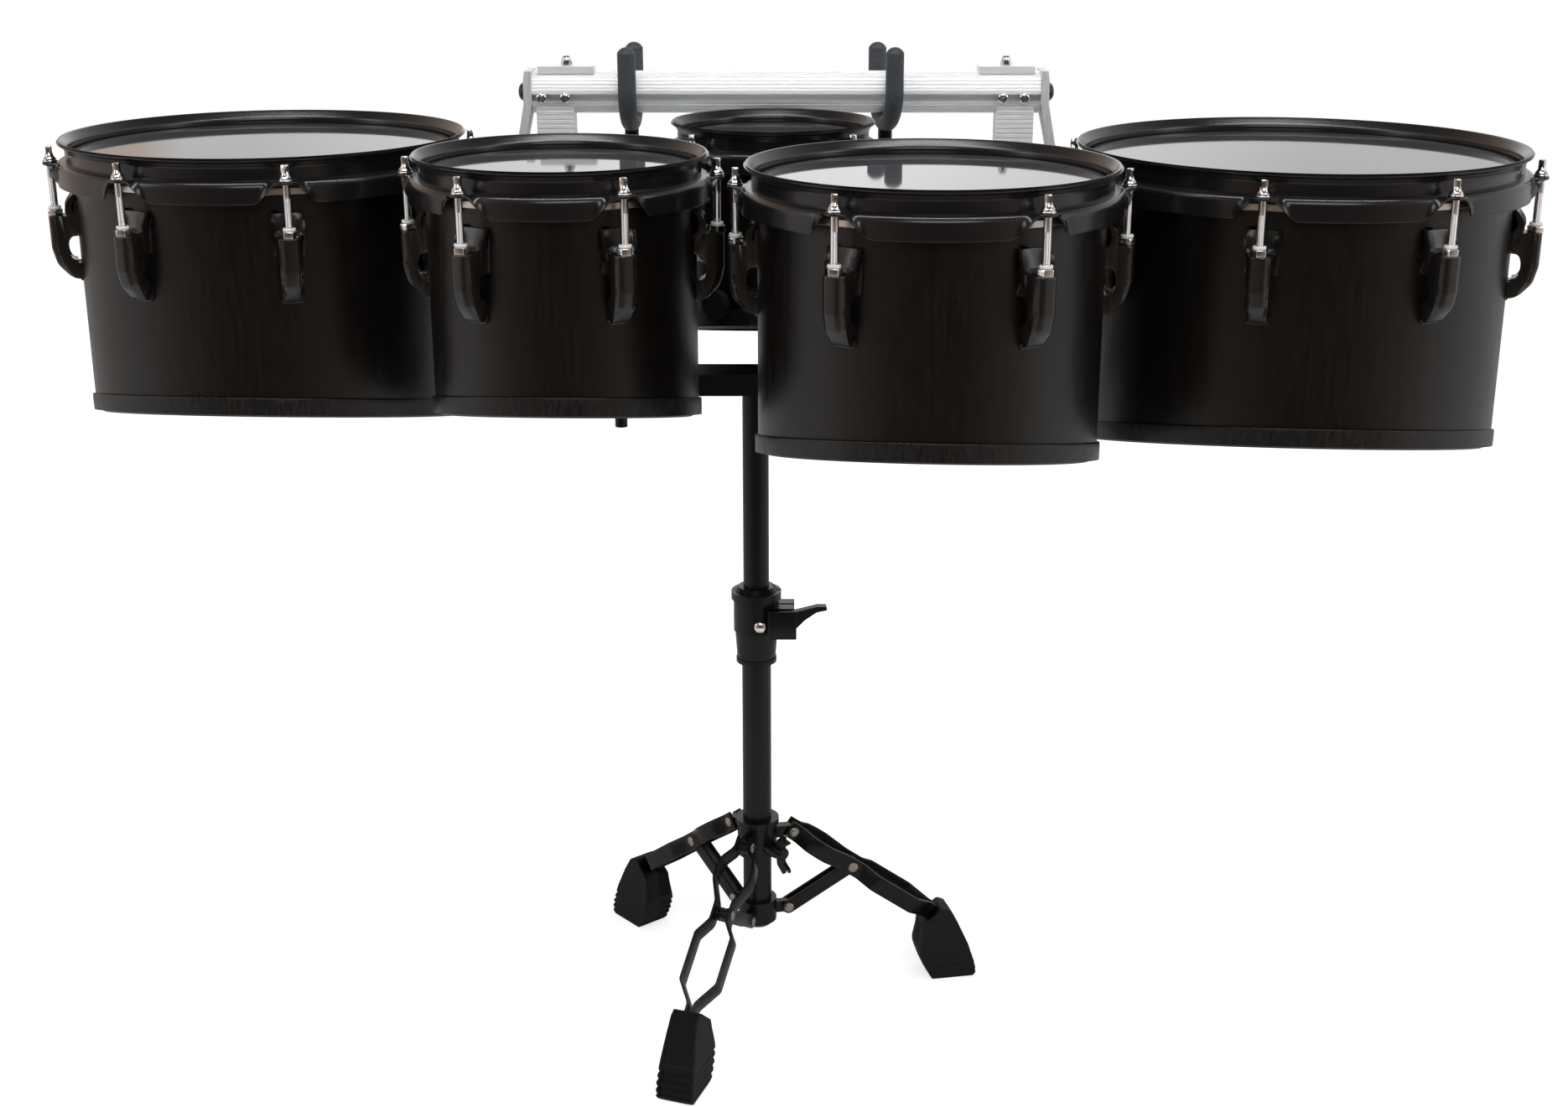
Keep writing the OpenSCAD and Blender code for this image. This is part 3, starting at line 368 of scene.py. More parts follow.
def finish(title, dark, light, rough, grain=900, stretch=(1, 1, 1), bump=0.05, bump_depth=0.0002,
           edge=None, edge_size=0.0008, dust=0.0, metallic=0.0, specular=0.5):
    material, tree, shader = new_material(title)
    links = tree.links
    shader.inputs["Metallic"].default_value = metallic
    shader.inputs["Specular IOR Level"].default_value = specular
    texture = add_node(tree, "ShaderNodeGroup", node_tree=GRAIN)
    texture.inputs["Scale"].default_value = grain
    texture.inputs["Stretch"].default_value = stretch
    tone = add_node(tree, "ShaderNodeMix", data_type="RGBA")
    tone.inputs[6].default_value = (*dark, 1)
    tone.inputs[7].default_value = (*light, 1)
    links.new(remap(tree, texture.outputs[0], 0.35, 0.65, 0.0, 1.0), tone.inputs[0])
    colour = tone.outputs[2]
    rough_value = remap(tree, texture.outputs[0], 0.3, 0.7, rough[0], rough[1])
    if edge:
        worn = add_node(tree, "ShaderNodeGroup", node_tree=WORN)
        worn.inputs["Radius"].default_value = edge_size
        colour = mix_colour(tree, worn.outputs[0], colour, edge)
    if dust:
        specks = add_node(tree, "ShaderNodeGroup", node_tree=DUST)
        specks.inputs["Size"].default_value = dust
        colour = mix_colour(tree, arithmetic(tree, "MULTIPLY", specks.outputs[0], 0.5), colour,
                            (0.32, 0.31, 0.30))
    links.new(colour, shader.inputs["Base Color"])
    links.new(rough_value, shader.inputs["Roughness"])
    add_bump(tree, shader, texture.outputs[0], bump, bump_depth)
    return material


def mix_colour(tree, factor, first, second):
    node = add_node(tree, "ShaderNodeMix", data_type="RGBA")
    tree.links.new(factor, node.inputs[0])
    tree.links.new(first, node.inputs[6])
    if isinstance(second, tuple):
        node.inputs[7].default_value = (*second, 1)
    else:
        tree.links.new(second, node.inputs[7])
    return node.outputs[2]


# %% [markdown]
# The blacks differ more than they seem: lacquered ply is warm and satin, powder coat is cooler and
# a little glossier, cast lugs are in between, rubber is grey and dull. Bright plate, anodised
# aluminium and plain steel follow.

# %% The finishes
SHELL = finish("satin_lacquer", (0.0020, 0.0014, 0.0011), (0.0034, 0.0025, 0.0020), (0.30, 0.37),
               grain=260, stretch=(1, 1, 0.12), bump=0.03, dust=0.035, specular=0.40)
HOOP = finish("powder_coat", (0.0045, 0.0042, 0.0045), (0.0085, 0.0080, 0.0085), (0.20, 0.26),
              grain=2600, bump=0.10, bump_depth=0.00006, edge=(0.024, 0.024, 0.026), dust=0.02)
LUG = finish("cast_lug", (0.0045, 0.0038, 0.0035), (0.0080, 0.0070, 0.0066), (0.20, 0.27),
             grain=1800, bump=0.10, bump_depth=0.00008, edge=(0.022, 0.021, 0.021), dust=0.02)
TRIM = finish("edge_guard", (0.0040, 0.0040, 0.0042), (0.0090, 0.0086, 0.0086), (0.30, 0.46),
              grain=420, stretch=(1, 1, 0.25), bump=0.35, bump_depth=0.0003, dust=0.03, specular=0.4)
CHROME = finish("bright_plate", (0.74, 0.73, 0.73), (0.86, 0.85, 0.85), (0.10, 0.20),
                grain=700, bump=0.04, metallic=1.0)
NYLON = finish("white_nylon", (0.66, 0.67, 0.66), (0.78, 0.79, 0.78), (0.40, 0.52), grain=800, bump=0.05)
RAIL = finish("anodised_rail", (0.80, 0.82, 0.83), (0.92, 0.93, 0.94), (0.28, 0.38),
              grain=1400, stretch=(0.05, 1, 1), bump=0.02, bump_depth=0.00004, metallic=0.25,
              edge=(0.95, 0.96, 0.97), edge_size=0.0004)
PLATE = finish("brushed_plate", (0.66, 0.66, 0.67), (0.82, 0.82, 0.83), (0.30, 0.44),
               grain=900, stretch=(1, 1, 0.05), bump=0.08, bump_depth=0.00010, metallic=0.4,
               edge=(0.88, 0.88, 0.89))
STEEL = finish("plain_steel", (0.20, 0.165, 0.13), (0.46, 0.42, 0.37), (0.30, 0.50),
               grain=900, bump=0.15, metallic=0.9)
BLACK_BOLT = finish("black_bolt", (0.007, 0.007, 0.008), (0.015, 0.015, 0.016), (0.25, 0.38),
                    grain=900, bump=0.06, edge=(0.04, 0.04, 0.044))
ARM = finish("black_anodised", (0.007, 0.007, 0.008), (0.012, 0.012, 0.013), (0.34, 0.46),
             grain=900, stretch=(1, 0.06, 1), bump=0.06, edge=(0.035, 0.035, 0.038))
STAND = finish("stand_coat", (0.0024, 0.0022, 0.0020), (0.0044, 0.0041, 0.0039), (0.28, 0.38),
               grain=1500, bump=0.12, bump_depth=0.00008, edge=(0.018, 0.017, 0.016), dust=0.025,
               specular=0.26)
SLEEVE = finish("hook_rubber", (0.040, 0.045, 0.052), (0.058, 0.064, 0.072), (0.46, 0.58),
                grain=500, bump=0.12, specular=0.35, dust=0.03)
RUBBER = finish("foot_rubber", (0.0085, 0.0085, 0.0085), (0.0150, 0.0150, 0.0150), (0.55, 0.70),
                grain=700, bump=0.20, specular=0.15, dust=0.03)

# %% [markdown]
# A head is a smoky film over the bearing edge, and its ring is bare metal. Both are one turned
# piece in the frame, so one finish tells them apart by their height below the hoop top.


# %% Head film with its bright ring
def head_finish(title, ring_top):
    material, tree, shader = new_material(title)
    links = tree.links
    coords = add_node(tree, "ShaderNodeTexCoord")
    split = add_node(tree, "ShaderNodeSeparateXYZ")
    links.new(coords.outputs["Object"], split.inputs[0])
    ring = arithmetic(tree, "LESS_THAN", split.outputs[2], ring_top)
    grain = add_node(tree, "ShaderNodeGroup", node_tree=GRAIN)
    grain.inputs["Scale"].default_value = 14
    smoke = add_colour(tree, (0.048, 0.050, 0.056))
    cloud = mix_colour(tree, grain.outputs[0], smoke, (0.066, 0.068, 0.075))
    specks = add_node(tree, "ShaderNodeGroup", node_tree=DUST)
    specks.inputs["Scale"].default_value = 170
    specks.inputs["Size"].default_value = 0.05
    dusty = mix_colour(tree, specks.outputs[0], cloud, (0.42, 0.42, 0.43))
    links.new(mix_colour(tree, ring, dusty, (0.62, 0.58, 0.54)), shader.inputs["Base Color"])
    links.new(ring, shader.inputs["Metallic"])
    haze = remap(tree, grain.outputs[0], 0.3, 0.7, 0.035, 0.055)
    links.new(arithmetic(tree, "MAXIMUM", haze, arithmetic(tree, "MULTIPLY", ring, 0.3)),
              shader.inputs["Roughness"])
    shader.inputs["Specular IOR Level"].default_value = 0.9
    add_bump(tree, shader, grain.outputs[0], 0.03, 0.0003)
    return material


def add_colour(tree, colour):
    node = add_node(tree, "ShaderNodeRGB")
    node.outputs[0].default_value = (*colour, 1)
    return node.outputs[0]


RING_TOP = 23.3 * MM   # the bare ring starts this far below the hoop top
HEADS = {name: head_finish(f"film_{name}", drum["axis"].z - RING_TOP) for name, drum in DRUMS.items()}

# %% Dress the frame's own nodes
FINISH_OF_SLOT = {"shell": SHELL, "hoop": HOOP, "trim": TRIM, "lug": LUG, "chrome": CHROME, "nylon": NYLON,
                  "rail": RAIL, "plate": PLATE, "steel": STEEL, "black_bolt": BLACK_BOLT, "arm": ARM,
                  "stand": STAND, "sleeve": SLEEVE, "rubber": RUBBER}
for part in frame["record"]["subparts"]:
    node, slot = part["node"], part["material_slot"]
    mesh = frame["nodes"][node].data
    mesh.materials.clear()
    if slot == "head":
        mesh.materials.append(HEADS[node.split("_")[1]])
    else:
        mesh.materials.append(FINISH_OF_SLOT[slot])

# %% [markdown]
# A counter-hoop is pressed from one sheet: a flared lip, a straight band, a flange and a skirt. At
# every lug the skirt swings up and out into a flat ear. Each point of the skirt keeps two numbers
# in its layers: how far it lies along the sheet, and how deep in it. The bend of the sheet is then
# laid out again for each point, from 90 degrees between the lugs to none under a lug's washer.

# %% Counter-hoops
HOOP_BODY = [(4.3, -19.2, 0.4), (4.3, -22.6, 0.3), (2.0, -22.6, 0.3), (2.0, -6.6, 4.0), (7.4, -0.2, 2.2),
             (9.9, 0.0, 1.25), (10.0, -2.9, 1.2), (7.3, -3.2, 2.4), (4.3, -8.2, 4.0), (4.3, -17.0, 0.8)]
FLANGE_OUT = 6.9   # where the flange starts to bend
FLANGE_Z = -17.0
BEND = 5.6         # outer radius of that bend
SHEET = 2.2
SKIRT_RUN = 20.8   # sheet beyond the start of the bend, between the lugs
EAR_RUN = 15.1     # the same at the middle of an ear
EAR_FLAT = 6.5     # half the flat width of an ear, along the rim
EAR_SWEEP = 15.5   # length of rim over which the ear turns into skirt
EAR_CROWN = 2.6    # how far the ear's tip falls back at EAR_HALF from its middle
EAR_HALF = 7.5
SKIRT_START = 10.0  # where the skirt begins to grow down, from the middle of an ear
HOOP_STEPS = {"six": 320, "eight": 408, "ten": 480, "twelve": 560, "thirteen": 600}


def on_sheet(run, depth, bend_angle):
    swept = min(run / BEND, bend_angle)
    over = max(run - BEND * bend_angle, 0)
    out = FLANGE_OUT + BEND * math.sin(swept) + over * math.cos(swept)
    z = FLANGE_Z - BEND * (1 - math.cos(swept)) - over * math.sin(swept)
    return out - depth * math.sin(swept), z - depth * math.cos(swept)


def skirt_points():
    rounded_edge = [(SKIRT_RUN - 0.7, 0.0), (SKIRT_RUN - 0.15, 0.25), (SKIRT_RUN, 0.8), (SKIRT_RUN, 1.4),
                    (SKIRT_RUN - 0.15, 1.95), (SKIRT_RUN - 0.7, SHEET)]
    runs = [BEND * math.pi / 2 * k / 8 for k in range(9)]
    runs += [runs[-1] + (SKIRT_RUN - 1.5 - runs[-1]) * k / 6 for k in range(1, 7)]
    outer = [(run, 0.0) for run in runs]
    inner = [(run, SHEET) for run in reversed(runs)]
    return outer + rounded_edge + inner


def near_lug(vert, angles):
    angle = math.atan2(vert.co.y, vert.co.x)
    return min(abs((angle - a + math.pi) % (2 * math.pi) - math.pi) for a in angles)


def press_hoop(bm, radius, angles, steps):
    run_layer = bm.verts.layers.float.new("run")
    depth_layer = bm.verts.layers.float.new("depth")
    section = [(p.x, p.y, -1.0, 0.0) for p in rounded(HOOP_BODY, 4, 2.4, closed=False)]
    section += [(*on_sheet(run, depth, math.pi / 2), run, depth) for run, depth in skirt_points()]
    verts = []
    for out, z, run, depth in section:
        vert = bm.verts.new((radius + out * MM, 0, z * MM))
        vert[run_layer] = run
        vert[depth_layer] = depth
        verts.append(vert)
    spin_loop(bm, verts, steps)
    for vert in bm.verts:
        if vert[run_layer] < 0:
            continue
        along = near_lug(vert, angles) * (radius / MM + 16)
        turned = smooth_step((along - EAR_FLAT) / EAR_SWEEP)
        tip = EAR_RUN - EAR_CROWN * min(along / EAR_HALF, 1.25) ** 2
        whole = tip + (SKIRT_RUN - tip) * smooth_step((along - SKIRT_START) / EAR_SWEEP)
        run = vert[run_layer] * whole / SKIRT_RUN
        out, z = on_sheet(run, vert[depth_layer], math.pi / 2 * turned)
        scale = (radius + out * MM) / math.hypot(vert.co.x, vert.co.y)
        vert.co = (vert.co.x * scale, vert.co.y * scale, z * MM)


for name, drum in DRUMS.items():
    bm = bmesh.new()
    press_hoop(bm, drum["radius"], drum["angles"], HOOP_STEPS[name])
    bmesh.ops.translate(bm, verts=bm.verts, vec=drum["axis"])
    hand_over(bm, f"pressed_hoop_{name}", "drum_set", HOOP, ["hoop_" + name], crisp=50)

# %% [markdown]
# A lug is one casting with a finger-wide hole behind it. Its side outline is extruded in slices
# across its width. Each point is then placed: the casting is widest where its cup meets the shell
# and narrow at the nose, the outer face rounds off towards both sides, and the dish above the rod
# seat gets raised cheeks. Two thin feet stand on the shell.

# %% Cast lugs
LUG_OUTLINE = [(-1.0, 17.2, 0), (2.2, 17.2, 0.9), (3.2, 11.5, 5), (4.6, 4.2, 4), (8.0, 0.0, 2.6),
               (21.6, 0.0, 1.2), (21.6, -26.0, 16), (18.4, -39.5, 14), (9.0, -50.0, 10), (-1.0, -52.0, 0),
               (-1.0, -38.0, 0), (2.2, -38.0, 0.7), (2.6, -35.6, 0.8), (11.3, -35.4, 9.2),
               (11.3, -16.2, 9.2), (-1.0, -16.2, 0)]
LUG_NOSE = 8.4    # half width at the outer face
LUG_CUP = 13.0    # half width of the cup where it meets the shell
LUG_TAIL = 9.4    # half width of the tail at the shell
LUG_SLICES = 14


def lug_half_width(x, z):
    at_shell = LUG_TAIL + (LUG_CUP - LUG_TAIL) * smooth_step((z + 16) / 20)
    return at_shell + (LUG_NOSE - at_shell) * smooth_step((x - 1) / 16)


def lug_casting():
    part = bmesh.new()
    outline = rounded(LUG_OUTLINE, 5, 3.2)
    extrude_outline(part, [(p.x * MM, -1.0, p.y * MM) for p in outline], (0, 2, 0), LUG_SLICES)
    for vert in part.verts:
        x, z = vert.co.x / MM, vert.co.z / MM
        side = vert.co.y
        y = side * lug_half_width(x, z)
        x -= 5.2 * abs(side) ** 4 * smooth_step((x - 3) / 15)
        if x < 12 and 0.2 < z < 16.8:
            x += 4.6 * abs(side) ** 3 * math.sin(math.pi * (z / 17.2) ** 0.75)
        if z < -34:
            y *= 1 - 0.22 * smooth_step((-34 - z) / 18)
        vert.co = Vector((x, y, z)) * MM
    caps = [f for f in part.faces if len(f.verts) > 20]
    rims = list({e for f in caps for e in f.edges})
    soften(part, rims, 0.8, clamp=True)
    for wide, narrow, low, high in ((14.2, 13.0, -16.0, 18.0), (9.8, 8.6, -53.0, -37.6)):
        outline = [(-narrow, low, 3.0), (narrow, low, 3.0), (wide, high, 5.5), (-wide, high, 5.5)]
        sunk = [(-2.2 * MM, p.x * MM, p.y * MM) for p in rounded(outline, 5)]
        top = extrude_outline(part, sunk, (3.9 * MM, 0, 0))
        soften(part, list(top.edges), 0.7)
    return part


bm = bmesh.new()
casting = lug_casting()
for drum in DRUMS.values():
    for place in lug_places(drum):
        add_part(bm, casting, place @ Matrix.Translation((drum["radius"], 0, SEAT_Z)), keep=True)
casting.free()
hand_over(bm, "cast_lugs", "drum_set", LUG, ["lugs"], crisp=40)

# %% [markdown]
# A tension rod has a square key head on a flared collar, a plain neck and a rolled thread. The
# thread is real: one V of the profile is spun with a rise of one pitch per turn, which is how a
# screw is cut. Every rod carries a steel washer, and below it a nylon ring and a hexagon nut.

# %% Tension rods
PITCH = 1.06
THREAD_TURNS = 27
THREAD_STEPS = 14


def tension_rod():
    part = bmesh.new()
    low = -57.5
    points = [(2.62, low), (2.98, low + PITCH * 0.42), (2.98, low + PITCH * 0.58), (2.62, low + PITCH)]
    verts = [part.verts.new((x * MM, 0, z * MM)) for x, z in points]
    edges = [part.edges.new((verts[i], verts[i + 1])) for i in range(3)]
    rise = PITCH * MM / THREAD_STEPS
    bmesh.ops.spin(part, geom=verts + edges, cent=(0, 0, 0), axis=(0, 0, 1), dvec=(0, 0, rise),
                   angle=2 * math.pi * THREAD_TURNS, steps=THREAD_STEPS * THREAD_TURNS,
                   use_merge=False, use_duplicate=False)
    bmesh.ops.remove_doubles(part, verts=part.verts, dist=0.00001)
    neck = [(0, -60), (2.7, -60), (2.7, -30.2), (2.95, -29.4), (2.95, -15.6), (4.9, -15.5), (4.9, -14.2),
            (4.0, -13.2), (3.1, -11.6), (2.7, -9.6), (0, -9.6)]
    add_spun(part, [(x * MM, z * MM) for x, z in neck], 20)
    key = bmesh.new()
    made = bmesh.ops.create_cube(key, size=1)
    bmesh.ops.scale(key, vec=(4.9 * MM, 4.9 * MM, 8.2 * MM), verts=made["verts"])
    bmesh.ops.translate(key, vec=(0, 0, -8.5 * MM), verts=made["verts"])
    soften(key, list(key.edges), 0.75)
    add_part(part, key)
    return part


def ring_section(inner, outer, low, high, corner):
    return [(p.x * MM, p.y * MM) for p in rounded([(inner, low, corner), (outer, low, corner),
                                                   (outer, high, corner), (inner, high, corner)], 2)]


def hex_nut(across, low, high):
    part = bmesh.new()
    made = bmesh.ops.create_cone(part, cap_ends=True, segments=6, radius1=across / 2 * MM,
                                 radius2=across / 2 * MM, depth=(high - low) * MM)
    bmesh.ops.translate(part, vec=(0, 0, (low + high) / 2 * MM), verts=made["verts"])
    soften(part, list(part.edges), 0.45)
    return part


SEAT = SEAT_Z / MM
rods, washers, nuts, nylons = bmesh.new(), bmesh.new(), bmesh.new(), bmesh.new()
rod, nut = tension_rod(), hex_nut(13.2, SEAT + 0.05, SEAT + 5.0)
washer, nylon = bmesh.new(), bmesh.new()
spin_section(washer, ring_section(3.2, 5.6, -16.94, -15.54, 0.45), 24)
spin_section(nylon, ring_section(3.1, 4.8, SEAT + 5.1, SEAT + 7.5, 0.6), 24)
for drum in DRUMS.values():
    for k, place in enumerate(lug_places(drum)):
        spot = place @ Matrix.Translation((drum["radius"] + ROD_OFF, 0, 0))
        turned = spot @ Matrix.Rotation(0.4 * k, 4, "Z")
        add_part(rods, rod, turned, keep=True)
        add_part(nuts, nut, turned, keep=True)
        add_part(washers, washer, spot, keep=True)
        add_part(nylons, nylon, spot, keep=True)
for part in (rod, nut, washer, nylon):
    part.free()
hand_over(rods, "threaded_rods", "drum_set", CHROME, ["tension_rods"], crisp=40)
hand_over(washers, "steel_washers", "drum_set", CHROME, ["rod_washers"], crisp=50)
hand_over(nuts, "hexagon_nuts", "drum_set", CHROME, ["lug_nuts"], crisp=40)
hand_over(nylons, "nylon_rings", "drum_set", NYLON, ["nylon_washers"], crisp=50)

# %% [markdown]
# A head is one turned piece: the film lies on the bearing edge, rolls over it and ends in a bright
# ring, on which the hoop's band presses.

# %% Drum heads
HEAD_SECTION = [(-30.0, -10.45, 0), (-7.0, -10.45, 6), (-0.6, -11.1, 1.6), (0.75, -13.6, 1.5),
                (1.0, -23.2, 0), (4.0, -23.2, 0.8), (4.4, -24.0, 0.6), (4.4, -29.3, 0.9),
                (0.9, -29.3, 0.4), (0.5, -24.0, 0.4), (0.45, -14.0, 1.0), (-0.8, -11.5, 1.2),
                (-7.2, -10.75, 5), (-30.0, -10.75, 0)]
for name, drum in DRUMS.items():
    bm = bmesh.new()
    section = [(drum["radius"] + p.x * MM, p.y * MM) for p in rounded(HEAD_SECTION, 4)]
    section = [(0, section[0][1])] + section + [(0, section[-1][1])]
    spin_section(bm, section, 200)
    bmesh.ops.translate(bm, verts=bm.verts, vec=drum["axis"])
    hand_over(bm, f"film_head_{name}", "drum_set", HEADS[name], ["head_" + name], crisp=40)

# %% [markdown]
# Each shell ends in a rubber guard pushed over its slanted cut. It is a U section spun round the
# shell and then sheared down along the cut. The rubber is a little slack: shallow waves run round
# it, and its upper lip shows a fine row of notches.

# %% Edge guards
GUARD_SECTION = [(2.2, 14.0, 0.7), (2.2, -1.6, 1.9), (-8.2, -1.6, 1.9), (-8.2, 14.0, 0.7), (-6.3, 14.0, 0.5),
                 (-6.3, 0.3, 0.4), (0.25, 0.3, 0.4), (0.25, 14.0, 0.5)]
FRONT_HEIGHT = {"six": 162, "eight": 180.5, "ten": 192, "twelve": 201, "thirteen": 205}
GUARD_STEPS = 360


def cut_height(name, drum, x, y):
    heading = math.radians(CUT_HEADING[name] - 90)
    depth = drum["radius"] - (x * math.cos(heading) + y * math.sin(heading))
    return (2 - FRONT_HEIGHT[name]) * MM - depth * math.tan(CUT_SLOPE)


for name, drum in DRUMS.items():
    bm = bmesh.new()
    section = [(drum["radius"] + p.x * MM, p.y * MM) for p in rounded(GUARD_SECTION, 4, 4.5)]
    spin_section(bm, section, GUARD_STEPS)
    for vert in bm.verts:
        x, y, z = vert.co
        angle = math.atan2(y, x)
        step = round(angle / (2 * math.pi) * GUARD_STEPS)
        out = math.hypot(x, y)
        if out > drum["radius"]:
            slack = math.sin(9 * angle + 1) * math.sin(4 * angle) * 0.35 + math.sin(23 * angle) * 0.12
            out += slack * MM * math.sin(math.pi * min(max(z / MM / 14, 0), 1))
            if z > 13.2 * MM and step % 2:
                z -= 0.45 * MM
                out -= 0.25 * MM
        z += cut_height(name, drum, x, y)
        vert.co = Vector((math.cos(angle) * out, math.sin(angle) * out, z)) + drum["axis"]
    hand_over(bm, f"edge_guard_{name}", "drum_set", TRIM, ["edge_trims"], crisp=40)

# %% [markdown]
# The tripod. Each leg is a pair of flat strips that bow out twice and pinch in at the brace. A
# strip is its middle line with rounded corners, extruded upwards to its height, and given its
# thickness. The boots are a side outline extruded across and drawn in towards the top.

# %% Tripod legs
POLE = Vector(((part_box("lower_tube")[0].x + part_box("lower_tube")[1].x) / 2,
               (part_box("lower_tube")[0].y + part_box("lower_tube")[1].y) / 2, 0))
LEGS = {"front": -109.5, "left": 130.5, "right": 10.5}
PIVOT = Vector((32.5, 0, 157.5))
BASE = Vector((28.0, 0, 82.0))
FOOT_OUT = 182
LEG_TILT = math.radians(36)
KNEE = 67
MOUTH = (FOOT_OUT - 24 - PIVOT.x) / math.cos(LEG_TILT)
LEG_END = (FOOT_OUT - 10 - PIVOT.x) / math.cos(LEG_TILT)
LEG_LINE = [(-6, 5.9, 0), (5, 5.9, 10), (16, 14.8, 14), (27, 16.5, 14), (37, 16.5, 16),
            (KNEE - 9, 7.6, 14), (KNEE + 9, 7.4, 8), (KNEE + 23, 16.5, 7),
            (MOUTH - 20, 16.5, 8), (MOUTH, 3.0, 8), (LEG_END, 3.0, 0)]


def strip(line, height, thick):
    part = bmesh.new()
    lower = [part.verts.new((x * MM, y * MM, -height / 2 * MM)) for x, y in line]
    edges = [part.edges.new((lower[i], lower[i + 1])) for i in range(len(lower) - 1)]
    made = bmesh.ops.extrude_edge_only(part, edges=edges)["geom"]
    upper = [g for g in made if isinstance(g, bmesh.types.BMVert)]
    bmesh.ops.translate(part, verts=upper, vec=(0, 0, height * MM))
    bmesh.ops.recalc_face_normals(part, faces=part.faces)
    bmesh.ops.solidify(part, geom=list(part.faces), thickness=thick * MM)
    middle = sum((v.co.y for v in part.verts)) / len(part.verts)
    wanted = sum(y for x, y in line) / len(line) * MM
    bmesh.ops.translate(part, verts=part.verts, vec=(0, wanted - middle, 0))
    long_edges = [e for e in part.edges if e.is_manifold and e.calc_face_angle(0) > 1.0]
    soften(part, long_edges, 0.35, clamp=True)
    return part


def rivet_head(size, rise):
    return [(0, 0), (size / 2, 0), (size / 2, rise * 0.35), (size * 0.38, rise * 0.8), (size * 0.2, rise),
            (0, rise)]


ALONG_Y = Matrix.Rotation(math.radians(-90), 4, "X")
AGAINST_Y = Matrix.Rotation(math.radians(90), 4, "X")


def add_turned(bm, section, steps, place):
    add_spun(bm, [(x * MM, z * MM) for x, z in section], steps, place)


def at_mm(x, y, z):
    return Matrix.Translation((x * MM, y * MM, z * MM))


def both_sides(bm, section, steps, place, y):
    add_turned(bm, section, steps, place @ at_mm(0, y, 0) @ ALONG_Y)
    add_turned(bm, section, steps, place @ at_mm(0, -y, 0) @ AGAINST_Y)


def leg_place(name):
    return Matrix.Translation(POLE) @ Matrix.Rotation(math.radians(LEGS[name]), 4, "Z")


GROOVED_SPACER = rounded([(0, -3.05, 0), (4.5, -3.05, 0.6), (4.5, -1.2, 0.3), (3.9, -0.7, 0.3),
                          (3.9, 0.7, 0.3), (4.5, 1.2, 0.3), (4.5, 3.05, 0.6), (0, 3.05, 0)], 2)
for name in LEGS:
    tilted = leg_place(name) @ at_mm(*PIVOT) @ Matrix.Rotation(LEG_TILT, 4, "Y")
    bm = bmesh.new()
    for side in (1, -1):
        line = [(p.x, p.y * side) for p in rounded(LEG_LINE, 6, closed=False)]
        add_part(bm, strip(line, 15.5, 2.5), tilted)
    knee_place = tilted @ at_mm(KNEE, 0, 0)
    add_turned(bm, [(p.x, p.y) for p in GROOVED_SPACER], 32, knee_place @ ALONG_Y)
    hand_over(bm, f"bowed_strips_{name}", f"leg_{name}_set", STAND, [f"leg_{name}"], crisp=36)
    pins = bmesh.new()
    add_turned(pins, [(0, -8.6), (2.45, -8.6), (2.45, 8.6), (0, 8.6)], 24, knee_place @ ALONG_Y)
    both_sides(pins, rivet_head(9.0, 1.5), 28, knee_place, 8.65)
    hand_over(pins, f"knee_rivet_{name}", f"leg_{name}_set", STEEL, crisp=36)

# %% Braces
BRACE_IN = 3.4      # inner face of a brace strip, from the middle of the leg
BRACE_THICK = 2.5
for name in LEGS:
    knee = PIVOT + Vector((KNEE * math.cos(LEG_TILT), 0, -KNEE * math.sin(LEG_TILT)))
    reach = knee - BASE
    rise = math.atan2(reach.z, reach.x)
    lifted = leg_place(name) @ at_mm(*BASE) @ Matrix.Rotation(-rise, 4, "Y")
    bm = bmesh.new()
    for side in (1, -1):
        far = reach.length + 6
        outline = rounded([(-6, -6, 5.6), (far, -6, 5.6), (far, 6, 5.6), (-6, 6, 5.6)], 7)
        part = bmesh.new()
        inner = [(p.x * MM, BRACE_IN * side * MM, p.y * MM) for p in outline]
        extrude_outline(part, inner, (0, BRACE_THICK * side * MM, 0))
        soften(part, sharp_edges(part, 1.2), 0.35)
        add_part(bm, part, lifted)
    hand_over(bm, f"brace_strips_{name}", f"brace_{name}_set", STAND, [f"brace_{name}"], crisp=36)

# %% Rivets of the collars
PIN_ROWS = (("collar_pins", "leg_collar", PIVOT, 7.25), ("base_pins", "stand_base", BASE, 6.0))
for node, body, where, half in PIN_ROWS:
    bm = bmesh.new()
    for name in LEGS:
        place = leg_place(name) @ at_mm(*where)
        add_turned(bm, [(0, -half), (2.45, -half), (2.45, half), (0, half)], 24, place @ ALONG_Y)
        both_sides(bm, rivet_head(8.6, 1.7), 28, place, half)
    hand_over(bm, f"domed_{node}", body, STEEL, [node], crisp=36)

# %% Rubber boots
BOOT_SIDE = [(-21, 0, 3), (-28.5, 13, 8), (-34, 28, 16), (-31, 45, 12), (-30.5, 54, 2.5), (-11, 70, 3.5),
             (-4, 67, 5), (4, 54, 12), (14, 32, 16), (20, 14, 9), (22, 5, 4), (19.5, 0, 2)]
BOOT_SLICES = 10
BOOT_MIDDLE = -8.0   # middle of the boot, outward from the sole point


def boot_half_width(z):
    return 17.0 - 5.0 * smooth_step((z - 12) / 67) - 1.0 * smooth_step((4 - z) / 5)


